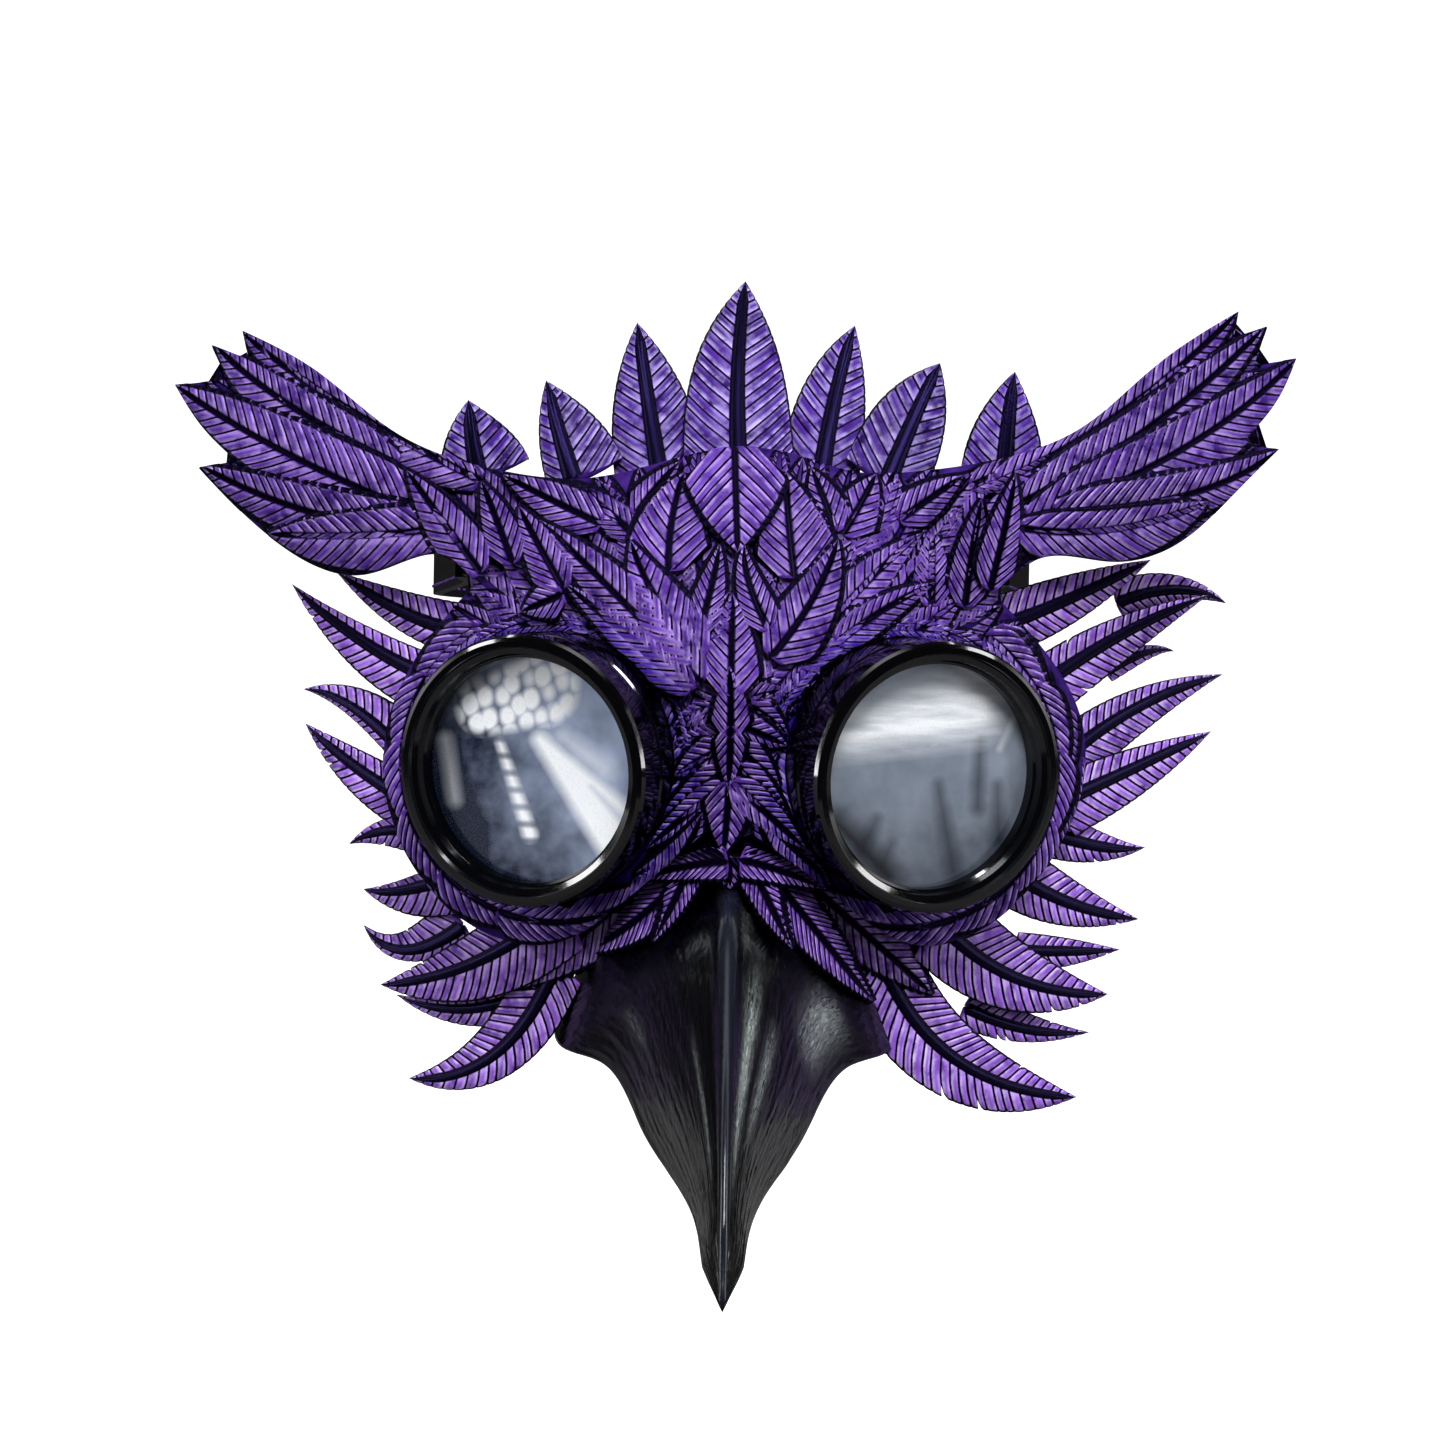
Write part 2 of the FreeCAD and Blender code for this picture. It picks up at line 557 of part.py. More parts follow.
def make_prong():
    """Tongue of the buckle: an eye round the heel bar and a rod that rests on the toe bar."""
    half = PRONG_SLOT - 0.4
    eye = upright_bar(HEEL_X, FRAME_Y, WIRE_R + 1.3, STRAP_Z - half, STRAP_Z + half)
    root = V(HEEL_X - 1.0, FRAME_Y + 2.1, STRAP_Z)
    tip = V(TOE_X - 2.5, FRAME_Y + WIRE_R + PRONG_R + 0.4, STRAP_Z)
    rod = Part.makeCone(PRONG_R, PRONG_R * 0.8, (tip - root).Length, root, tip - root)
    bore = upright_bar(HEEL_X, FRAME_Y, WIRE_R + PIVOT_GAP, STRAP_Z - 5.0, STRAP_Z + 5.0)
    return eye.fuse(rod).fuse(Part.makeSphere(PRONG_R * 0.8, tip)).cut(bore).removeSplitter()


def make_keeper():
    """Loop of thin leather round every layer of the strap."""
    inside = (BACK_Y - STRAP_T / 2 - 0.4, BACK_Y + 2 * LAYER + STRAP_T / 2 + 0.45)
    outside = (inside[0] - KEEPER_T, inside[1] + KEEPER_T)
    half = STRAP_W / 2 + 0.5
    block = strap_box(KEEPER_X, outside, half + KEEPER_T)
    return block.cut(strap_box((KEEPER_X[0] - 1, KEEPER_X[1] + 1), inside, half))


# ---------------------------------------------------------------- the assembly
def build():
    pieces = {"face_shell": SHELL, "beak": BEAK}
    for name, spec in CERE.items():
        pieces[name] = make_cere(*spec)
    for name, spec in SIDE_FEATHERS.items():
        pieces[name] = make_side_feather(*spec)
    for name, spec in CROWN_FEATHERS.items():
        pieces[name] = make_feather(*spec)
    for side, word in ((-1, "left"), (1, "right")):
        pieces["eye_cup_" + word] = make_cup(side)
        pieces["lens_gasket_" + word] = make_gasket(side)
        pieces["lens_" + word] = make_lens(side)
        pieces["retaining_ring_" + word] = make_ring(side)
        pieces["strap_tab_" + word] = make_tab(side)
        pieces["strap_screw_" + word] = make_screw(side)
    pieces["strap_buckle_side"] = make_buckle_side()
    pieces["strap_tongue_side"] = make_tongue_side()
    pieces["buckle_frame"] = make_frame()
    pieces["buckle_prong"] = make_prong()
    pieces["strap_keeper"] = make_keeper()
    return pieces


for node, shape in build().items():
    shape.exportStep("parts/" + node + ".step")
    box = shape.BoundBox
    print(node, "valid" if shape.isValid() else "INVALID", len(shape.Solids), "solid",
          "%.0f mm3" % shape.Volume,
          "x %.1f..%.1f y %.1f..%.1f z %.1f..%.1f" % (box.XMin, box.XMax, box.YMin, box.YMax,
                                                      box.ZMin, box.ZMax))
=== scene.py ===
"""Looks of the plague doctor mask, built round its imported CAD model.

Lengths in this script are millimetres until a mesh is made; Blender gets metres.
Every leather feather is one leaf() call: two grids of rows that run out along its barbs,
so that each barb groove, the midrib and the rim are real relief and carry painted values.
"""
import bmesh
import bpy
import math
import numpy as np
from mathutils import Matrix, Vector, noise
from mathutils.bvhtree import BVHTree
from mathutils.geometry import delaunay_2d_cdt


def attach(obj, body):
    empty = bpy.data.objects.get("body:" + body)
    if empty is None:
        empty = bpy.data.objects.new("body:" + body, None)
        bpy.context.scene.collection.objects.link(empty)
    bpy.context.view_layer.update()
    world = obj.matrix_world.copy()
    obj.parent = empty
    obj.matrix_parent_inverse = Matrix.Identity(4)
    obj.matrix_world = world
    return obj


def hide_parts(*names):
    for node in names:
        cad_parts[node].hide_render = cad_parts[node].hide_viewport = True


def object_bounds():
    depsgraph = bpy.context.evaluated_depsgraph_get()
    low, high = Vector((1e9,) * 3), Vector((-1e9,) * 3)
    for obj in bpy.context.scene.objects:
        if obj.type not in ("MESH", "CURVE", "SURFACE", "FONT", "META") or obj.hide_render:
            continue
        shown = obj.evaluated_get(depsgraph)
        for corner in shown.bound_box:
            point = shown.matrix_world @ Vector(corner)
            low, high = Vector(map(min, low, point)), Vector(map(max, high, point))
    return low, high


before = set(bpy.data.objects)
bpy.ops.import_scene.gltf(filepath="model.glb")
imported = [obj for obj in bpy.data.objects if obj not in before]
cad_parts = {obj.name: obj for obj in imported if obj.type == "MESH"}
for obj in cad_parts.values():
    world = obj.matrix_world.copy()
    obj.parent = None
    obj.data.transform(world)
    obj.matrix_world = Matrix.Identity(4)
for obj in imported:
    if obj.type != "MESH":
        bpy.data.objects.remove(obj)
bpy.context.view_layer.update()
MM = 0.001
SHELL_T = 3.0            # thickness of the face leather
LOOSE_FRONT = 3.1        # depth of the first layer of loose feathers behind the face surface
LAYER = 2.1              # from one layer of loose feathers to the next
BARREL_R = 29.1          # round hole for a goggle barrel
# painted values of a vertex: black antique and painted border shade, painted lip highlight with
# rubbed dye, dye tone, glossy midrib, suede, place
PAINT = ("ink", "lip", "tone", "bar", "back", "along")


# ---------------------------------------------------------------- the face surface
def smooth(t):
    t = np.clip(t, 0.0, 1.0)
    return t * t * (3.0 - 2.0 * t)


def face_y(x, z):
    """Depth of the mask's outer face, the same surface that the CAD leather follows."""
    above = np.maximum(0.0, z - 15.0)
    wrap = 0.72 - 0.27 * smooth(above / 55.0)
    lean = np.where(above > 38.5, 9.63 + 0.5 * (above - 38.5), 0.0065 * above ** 2)
    lean = lean * np.exp(-(x / 60.0) ** 2)
    ridge = 4.0 + 0.2 * np.maximum(0.0, -z)
    ridge = ridge * np.where(z > 20.0, np.maximum(0.0, 1.0 - (z - 20.0) / 25.0), 1.0)
    return -21.0 + lean + wrap * (np.hypot(45.0, x) - 45.0) - ridge * np.exp(-(x / 15.0) ** 2)


def on_face(front):
    """Places points on the face surface moved back by front, with height h towards -Y."""
    def place(x, z, h):
        return np.stack([x, face_y(x, z) + front - h, z], axis=-1)
    return place


# ---------------------------------------------------------------- outline of the face leather
LEFT_RING = [(-4.3, -13.0), (-22.0, -29.0), (-38.0, -39.2), (-54.0, -37.6), (-68.0, -27.0),
             (-77.0, -10.0), (-77.0, 10.0), (-69.0, 26.0), (-57.0, 40.0)]
LEFT_TUFT = [[(-57.0, 40.0), (-64.0, 46.0), (-83.0, 42.0), (-102.0, 48.0), (-122.0, 66.0)],
             [(-122.0, 66.0), (-113.0, 67.5)],
             [(-113.0, 67.5), (-121.0, 75.0), (-128.0, 85.0)],
             [(-128.0, 85.0), (-115.5, 86.0)],
             [(-115.5, 86.0), (-119.5, 94.0)],
             [(-119.5, 94.0), (-110.5, 90.5)],
             [(-110.5, 90.5), (-112.0, 97.0)]]
TOP_EDGE = [(-112.0, 97.0), (-95.0, 88.0), (-75.0, 73.0), (-52.0, 65.0), (-32.0, 63.5),
            (-14.0, 68.0), (0.0, 71.0), (14.0, 69.5), (26.0, 66.0), (38.6, 66.0),
            (57.0, 69.0), (76.0, 76.0), (95.0, 92.0), (114.0, 105.0)]
RIGHT_TUFT = [[(114.0, 105.0), (113.0, 99.0)],
              [(113.0, 99.0), (121.0, 102.0)],
              [(121.0, 102.0), (118.0, 93.0)],
              [(118.0, 93.0), (128.0, 95.0)],
              [(128.0, 95.0), (124.0, 86.0), (115.5, 75.5)],
              [(115.5, 75.5), (124.0, 74.0)],
              [(124.0, 74.0), (114.0, 64.0), (101.0, 52.0), (86.0, 47.5), (70.0, 48.0),
               (58.0, 39.5)]]
RIGHT_RING = [(58.0, 39.5), (70.0, 27.5), (79.5, 12.0), (79.5, -6.0), (70.0, -23.5),
              (57.0, -35.0), (43.0, -38.6), (22.0, -26.5), (4.3, -13.5)]
NOSE_TIP = (-1.0, -18.5)


def spline(points, step):
    """Points about step apart along the natural cubic spline through points."""
    p = np.array(points, float)
    gaps = np.linalg.norm(np.diff(p, axis=0), axis=1)
    knots = np.concatenate([[0.0], np.cumsum(gaps)])
    t = np.linspace(0.0, knots[-1], max(2, int(round(knots[-1] / step)) + 1))
    count = len(p)
    if count == 2:
        return p[0] + (p[1] - p[0]) * (t / knots[-1])[:, None]
    system = np.eye(count)
    bend = np.zeros_like(p)
    for i in range(1, count - 1):
        system[i, i - 1] = gaps[i - 1]
        system[i, i] = 2 * (gaps[i - 1] + gaps[i])
        system[i, i + 1] = gaps[i]
        bend[i] = 6 * ((p[i + 1] - p[i]) / gaps[i] - (p[i] - p[i - 1]) / gaps[i - 1])
    m = np.linalg.solve(system, bend)
    i = np.clip(np.searchsorted(knots, t, side="right") - 1, 0, count - 2)
    g = gaps[i][:, None]
    a = (knots[i + 1] - t)[:, None]
    b = (t - knots[i])[:, None]
    return (m[i] * a ** 3 + m[i + 1] * b ** 3) / (6 * g) + (p[i] / g - m[i] * g / 6) * a \
        + (p[i + 1] / g - m[i + 1] * g / 6) * b


def shell_outline(step):
    runs = [[NOSE_TIP, LEFT_RING[0]], LEFT_RING] + LEFT_TUFT + [TOP_EDGE] + RIGHT_TUFT
    runs += [RIGHT_RING, [RIGHT_RING[-1], NOSE_TIP]]
    return np.concatenate([spline(run, step)[:-1] for run in runs])


def inside(points, loop):
    """Which of the points lie inside the closed loop, by crossings to their right."""
    x, z = points[:, 0][:, None], points[:, 1][:, None]
    x0, z0 = loop[:, 0], loop[:, 1]
    x1, z1 = np.roll(x0, -1), np.roll(z0, -1)
    crosses = (z0 > z) != (z1 > z)
    rise = np.where(z1 == z0, 1e-9, z1 - z0)
    return (crosses & (x < (x1 - x0) * (z - z0) / rise + x0)).sum(axis=1) % 2 == 1


def distance(points, loop):
    """Distance of each point from the nearest corner of a closely sampled loop."""
    best = np.full(len(points), 1e9)
    for corner in loop:
        best = np.minimum(best, np.hypot(points[:, 0] - corner[0], points[:, 1] - corner[1]))
    return best


GOGGLE_X, GOGGLE_Y = 39.0, -11.2
YAW, PITCH = math.radians(24.0), math.radians(6.0)


def goggle_axis(side):
    level = math.cos(PITCH)
    return Vector((side * math.sin(YAW) * level, -math.cos(YAW) * level, -math.sin(PITCH)))


def goggle_point(side, along):
    return Vector((side * GOGGLE_X, GOGGLE_Y, 0.0)) + goggle_axis(side) * along


def goggle_hole(side, radius, count=120):
    """Where a round hole about the goggle axis comes out through the face, as an x, z loop."""
    axis = goggle_axis(side)
    across = axis.cross(Vector((0, 0, 1))).normalized()
    up = across.cross(axis)
    loop = []
    for i in range(count):
        angle = 2 * math.pi * i / count
        rim = goggle_point(side, 0) + (across * math.cos(angle) + up * math.sin(angle)) * radius
        for _ in range(30):
            miss = float(face_y(rim.x, rim.z)) - rim.y
            rim += axis * (miss / axis.y * 0.6)
        loop.append((rim.x, rim.z))
    return np.array(loop)


HOLES = {side: goggle_hole(side, BARREL_R) for side in (-1, 1)}
OUTLINE = shell_outline(1.0)
CUT_EDGE = shell_outline(0.4)


def nearest(points, loop):
    gap = np.hypot(points[:, None, 0] - loop[None, :, 0], points[:, None, 1] - loop[None, :, 1])
    return loop[np.argmin(gap, axis=1)]


def within_leather(x, z):
    """Pulls points that lie past a cut edge of the face leather back onto that edge."""
    spots = np.stack([x, z], -1)
    past = ~inside(spots, OUTLINE)
    if past.any():
        spots[past] = nearest(spots[past], CUT_EDGE)
    for loop in HOLES.values():
        past = inside(spots, loop)
        if past.any():
            spots[past] = nearest(spots[past], loop)
    return spots[:, 0], spots[:, 1]


def trimmed_face(loop):
    """Placement for a carved feather, trimmed at the cut edges if its outline reaches them."""
    clear = inside(loop, OUTLINE).all()
    clear = clear and not any(inside(loop, hole).any() for hole in HOLES.values())

    def place(x, z, h):
        if not clear:
            x, z = within_leather(x, z)
        return np.stack([x, face_y(x, z) - h, z], axis=-1)
    return place


# ---------------------------------------------------------------- mesh making
def add_object(name, data):
    made = bpy.data.objects.new(name, data)
    bpy.context.scene.collection.objects.link(made)
    return made


def grid_faces(rows, cols):
    """Four-sided faces of a grid of vertices that are numbered row by row."""
    index = np.arange(rows * cols).reshape(rows, cols)
    quads = np.stack([index[:-1, :-1], index[1:, :-1], index[1:, 1:], index[:-1, 1:]], -1)
    return quads.reshape(-1, 4)


WELD = 0.004             # vertices nearer than this become one


class Pile:
    """Collects grids and faces, with the painted values of each vertex, into one mesh."""

    def __init__(self):
        self.points, self.paint, self.faces, self.count = [], [], [], 0

    def add(self, points, paint, faces):
        self.points.append(np.asarray(points, float).reshape(-1, 3))
        self.paint.append(np.asarray(paint, float).reshape(-1, len(PAINT)))
        self.faces.append(np.asarray(faces, int) + self.count)
        self.count += len(self.points[-1])

    def grid(self, points, paint, flip=False):
        quads = grid_faces(*points.shape[:2])
        self.add(points, paint, quads[:, ::-1] if flip else quads)

    def build(self, name, material, body="mask"):
        mesh = bpy.data.meshes.new(name)
        points = np.concatenate(self.points) * MM
        faces = [list(map(int, face)) for group in self.faces for face in group]
        mesh.from_pydata(points.tolist(), [], faces)
        values = np.concatenate(self.paint)
        for i, key in enumerate(PAINT):
            layer = mesh.attributes.new(key, "FLOAT", "POINT")
            layer.data.foreach_set("value", values[:, i].astype(np.float32))
        tidy = bmesh.new()
        tidy.from_mesh(mesh)
        bmesh.ops.remove_doubles(tidy, verts=tidy.verts, dist=WELD * MM)
        bmesh.ops.dissolve_degenerate(tidy, edges=tidy.edges, dist=WELD * MM)
        bmesh.ops.recalc_face_normals(tidy, faces=tidy.faces)
        tidy.to_mesh(mesh)
        tidy.free()
        mesh.polygons.foreach_set("use_smooth", [True] * len(mesh.polygons))
        mesh.materials.append(material)
        made = add_object(name, mesh)
        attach(made, body)
        return made


def values(shape, **painted):
    out = np.zeros(tuple(shape) + (len(PAINT),))
    for key, value in painted.items():
        out[..., PAINT.index(key)] = value
    return out


# ---------------------------------------------------------------- one leather feather
def bent_rib(base, middle, tip):
    a, b, c = (np.array(p, float) for p in (base, middle, tip))

    def rib(v):
        v = v[:, None]
        spot = (1 - v) * (1 - 2 * v) * a + 4 * v * (1 - v) * b + v * (2 * v - 1) * c
        ahead = (4 * v - 3) * a + (4 - 8 * v) * b + (4 * v - 1) * c
        return spot, ahead / np.linalg.norm(ahead, axis=1)[:, None]
    return rib


def arc_rib(centre, radius, start, end):
    """Rib round a circle from one angle to another, in degrees from +X towards +Z."""
    def rib(v):
        angle = np.radians(start + (end - start) * v)
        out = np.stack([np.cos(angle), np.sin(angle)], -1)
        turn = 1.0 if end > start else -1.0
        return np.array(centre) + radius * out, turn * np.stack([-out[:, 1], out[:, 0]], -1)
    return rib


# A style holds, in mm: spacing of the barbs; bar and bar_end, half widths of the midrib at root
# and tip; rise of the midrib, below 0 if it is cut in; dome, groove and rim, relief of the vane,
# its barb lines and its rim; line, width of a barb line; notch, depth of nicks in the rim; lift,
# wave and twist of the whole feather; flare, width of the black border round a carved feather,
# antique in the cut and painted shade on the leather beneath; thick, of the leather.
# As shares: slant and bend of the barbs, root, how far the base stays narrow, split, how often a
# barb is torn, rim_ink and tone.
CARVED = dict(spacing=2.4, slant=1.0, bend=0.25, root=0.28, bar=0.42, bar_end=0.26, rise=-0.6,
              dome=0.24, groove=0.4, rim=0.12, notch=0.05, split=0.0, thick=0.55, lift=0.0,
              twist=0.0, wave=0.0, rim_ink=1.0, line=0.45, flare=0.85, tone=0.5)
LOOSE = dict(CARVED, slant=0.55, bend=0.2, root=0.0, bar=1.7, bar_end=0.35, rise=1.0, dome=0.35,
             rim=0.35, notch=0.12, split=0.05, thick=2.0, rim_ink=0.75, line=0.42, flare=0.0)
BORDER_DROP = 0.16       # depth of the black border round a carved feather, antique and painted shade

# a vane has ten columns: three on the midrib, two beside it, two on the barbs, three to the rim
COLUMNS = np.arange(10)
RAISED_RIB = np.array([1.0, 0.82, 0.45, -0.22, 0, 0, 0, 0, 0, 0])
CUT_RIB = np.array([1.0, 0.95, 0.8, 0.4, 0, 0, 0, 0, 0, 0])
RAISED_RIB_GLOSS = np.array([1, 1, 0.8, 0, 0, 0, 0, 0, 0, 0.0])
RAISED_RIB_INK = np.array([0, 0, 0.6, 1, 0, 0, 0, 0, 0, 0.0])
CUT_RIB_INK = np.array([1, 1, 0.9, 0.3, 0, 0, 0, 0, 0, 0.0])
RIM_INK = np.array([0, 0, 0, 0, 0, 0, 0, 0, 0.3, 1.0])
# painted highlights: along a vane's rim and beside its midrib
RIM_GLINT = 0.75 * (COLUMNS == 8)
RIB_GLINT = 0.4 * (COLUMNS == 4)


def vane_width(v, vane, fullness, root):
    """Width of a vane at the share v of its length."""
    full = vane * (1 - np.clip(v, 0, 1) ** fullness)
    if root > 0:
        full = full * (1 - 0.6 * (1 - np.clip(v / root, 0, 1)) ** 2)
    return full


def barb_rows(length, vane, fullness, style, rng):
    """Rows along a vane, four to a barb: their starts on the rib and six values of each."""
    starts = [-style["slant"] * float(vane_width(0.0, vane, fullness, style["root"]))]
    while starts[-1] < length - 0.6 * style["spacing"]:
        starts.append(starts[-1] + style["spacing"] * rng.uniform(0.78, 1.22))
    starts[-1] = length
    rows = []                      # start on the rib, groove, lip, crown, strand tone, gap, torn
    for k, (low, high) in enumerate(zip(starts[:-1], starts[1:])):
        line = min(style["line"], 0.3 * (high - low))
        strand = rng.uniform(-0.16, 0.16)
        deep = rng.uniform(0.6, 1.0)
        gap = style["notch"] * rng.uniform(0.3, 1.0)
        torn = rng.uniform() < style["split"] and 2 < k
        rows.append((low, deep, 0.0, 0.0, strand, gap, 0.76 if torn else 1.0))
        # the lip value is the strength of a painted highlight on the barb's lip
        rows.append((low + line, 0.0, rng.uniform(0.5, 1.0), 0.6, strand, 0.12 * gap,
                     0.94 if torn else 1.0))
        rows.append(((low + high) / 2, 0.0, 0.0, 1.0, strand, 0.0, 1.0))
        rows.append((high - line, 0.0, rng.uniform(0.0, 0.45), 0.6, strand, 0.3 * gap, 1.0))
    rows.append((length, 0.0, 0.0, 0.0, 0.0, 0.0, 1.0))
    return [np.array(column) for column in zip(*rows)]


def barb_reach(s, length, vane, fullness, style):
    """How far out from the rib each row meets the vane's outline, by halving."""
    low, high = np.zeros(len(s)), np.full(len(s), vane * 1.05)
    for _ in range(30):
        u = (low + high) / 2
        ahead = s + style["slant"] * u + style["bend"] * u * u / vane
        short = u < vane_width(ahead / length, vane, fullness, style["root"])
        low, high = np.where(short, u, low), np.where(short, high, u)
    return low


def column_shares(bar, reach):
    """Places of the ten columns of each row, as shares of its reach."""
    cols = [0 * reach, 0.6 * bar, bar, np.minimum(bar + 0.28, 0.42 * reach),
            np.minimum(bar + 0.7, 0.5 * reach), 0.58 * reach, 0.7 * reach,
            np.maximum(0.84 * reach, reach - 0.8), np.maximum(0.94 * reach, reach - 0.4), reach]
    return np.stack(cols, -1) / np.maximum(reach, 1e-6)[:, None]


def leaf(pile, rib, vanes, fullness, place, style, rng, lift=0.0):
    """Adds one feather to the pile. vanes are its widths left and right of the rib."""
    table_v = np.linspace(0, 1, 60)
    spots, _ = rib(table_v)
    table_s = np.concatenate([[0], np.cumsum(np.linalg.norm(np.diff(spots, axis=0), axis=1))])
    length = table_s[-1]
    leaf_tone = style["tone"] + rng.uniform(-0.13, 0.13)
    phase = rng.uniform(0, 6)
    raised = style["rise"] > 0

    for side, vane in ((1, vanes[0]), (-1, vanes[1])):
        slant = style["slant"]
        s, groove, lip, crown, strand, gap, torn = barb_rows(length, vane, fullness, style, rng)
        low = barb_reach(s, length, vane, fullness, style)
        reach = np.maximum(low - gap, 0.6 * low) * torn
        start = np.minimum(np.maximum(0.0, -s / slant), reach)

        v_row = np.clip(s / length, 0, 1)
        bar = style["bar"] + (style["bar_end"] - style["bar"]) * v_row
        bar = np.minimum(bar, 0.33 * np.maximum(reach, 0.05))
        share = column_shares(bar, reach)
        u = start[:, None] + (reach - start)[:, None] * share
        on_rib = (start < 1e-6)[:, None]
        ahead = np.clip(s[:, None] + slant * u + style["bend"] * u * u / vane, 0, length)
        v = np.interp(ahead.ravel(), table_s, table_v)
        spot, way = rib(v)
        sway = side * u.ravel()
        x = spot[:, 0] - sway * way[:, 1]
        z = spot[:, 1] + sway * way[:, 0]
        v = v.reshape(u.shape)

        from_bar = np.clip((u - bar[:, None]) / 0.7, 0, 1)
        to_rim = np.clip((reach[:, None] - u) / 0.85, 0, 1)
        ridge = (RAISED_RIB if raised else CUT_RIB) * on_rib
        height = style["rise"] * ridge * (1 - 0.55 * v if raised else 1)
        height = height + style["dome"] * np.sin(math.pi * np.clip(share, 0, 1) ** 0.8)
        barb = 0.09 * crown[:, None] - style["groove"] * groove[:, None]
        height = height + barb * smooth(from_bar)
        height = height - style["rim"] * (1 - smooth(to_rim)) ** 1.5
        height = height + lift + style["lift"] * v ** 2
        height = height + side * style["twist"] * v * u / vane
        height = height + style["wave"] * v * np.sin(phase + 0.16 * ahead + side * 0.12 * u)
        top = place(x, z, height.ravel()).reshape(u.shape + (3,))

        uncut = 1 - groove[:, None]
        ink = (RAISED_RIB_INK if raised else CUT_RIB_INK) * on_rib
        ink = np.maximum(ink, style["rim_ink"] * RIM_INK)
        ink = np.maximum(ink, groove[:, None] * (COLUMNS >= 3))
        # painted highlights on the barb lips, the rim and beside the midrib, carried in the lip
        # attribute
        glint = lip[:, None] * ((COLUMNS >= 4) & (COLUMNS <= 8))
        glint = np.maximum(glint, RIM_GLINT * uncut * rng.uniform(0.4, 1.0))
        glint = np.maximum(glint, RIB_GLINT * uncut * on_rib)
        tone = leaf_tone + strand[:, None] - 0.18 * (1 - from_bar) * on_rib
        paint = values(u.shape, ink=ink, lip=glint, tone=tone, along=v,
                       bar=RAISED_RIB_GLOSS * raised * on_rib)
        pile.grid(top, paint, flip=side < 0)

        out = side * (reach + style["flare"])
        spot, way = rib(v[:, -1])
        x = np.stack([top[:, 0, 0], spot[:, 0] - out * way[:, 1]], -1)
        z = np.stack([top[:, 0, 2], spot[:, 1] + out * way[:, 0]], -1)
        level = lift + style["lift"] * v[:, [0, -1]] ** 2
        under = place(x.ravel(), z.ravel(), level.ravel()).reshape(x.shape + (3,))
        under[..., 1] += style["thick"]
        if style["thick"] > 1:
            under[:, -1, 1] = top[:, -1, 1] + style["thick"]
        # a carved feather's underside and border are painted black: antique in the cut and
        # painted shade on the leather below; a loose feather's underside is suede
        hide = 1.0 if style["flare"] == 0 else 0.0
        below = values(under.shape[:2], back=hide, ink=1.0 - hide, tone=leaf_tone,
                       along=v[:, [0, -1]])
        pile.grid(under, below, flip=side > 0)
        edge = [top[:, -1], under[:, -1]]
        edge_paint = [paint[:, -1], below[:, -1]]
        if style["flare"] > 0:
            edge.insert(1, under[:, -1] - np.array([0.0, style["thick"] - BORDER_DROP, 0.0]))
            edge_paint.insert(1, below[:, -1])
        pile.grid(np.stack(edge, 1), np.stack(edge_paint, 1), flip=side < 0)
        root = np.stack([under[:, 0], top[:, 0]], 1)[s <= 0]
        if len(root) > 1:
            root_paint = np.stack([below[:, 0], paint[:, 0]], 1)[s <= 0]
            pile.grid(root, root_paint, flip=side < 0)


# ---------------------------------------------------------------- materials
def tint(red, green, blue):
    def linear(c):
        c /= 255.0
        return c / 12.92 if c <= 0.04045 else ((c + 0.055) / 1.055) ** 2.4
    return (linear(red), linear(green), linear(blue), 1.0)


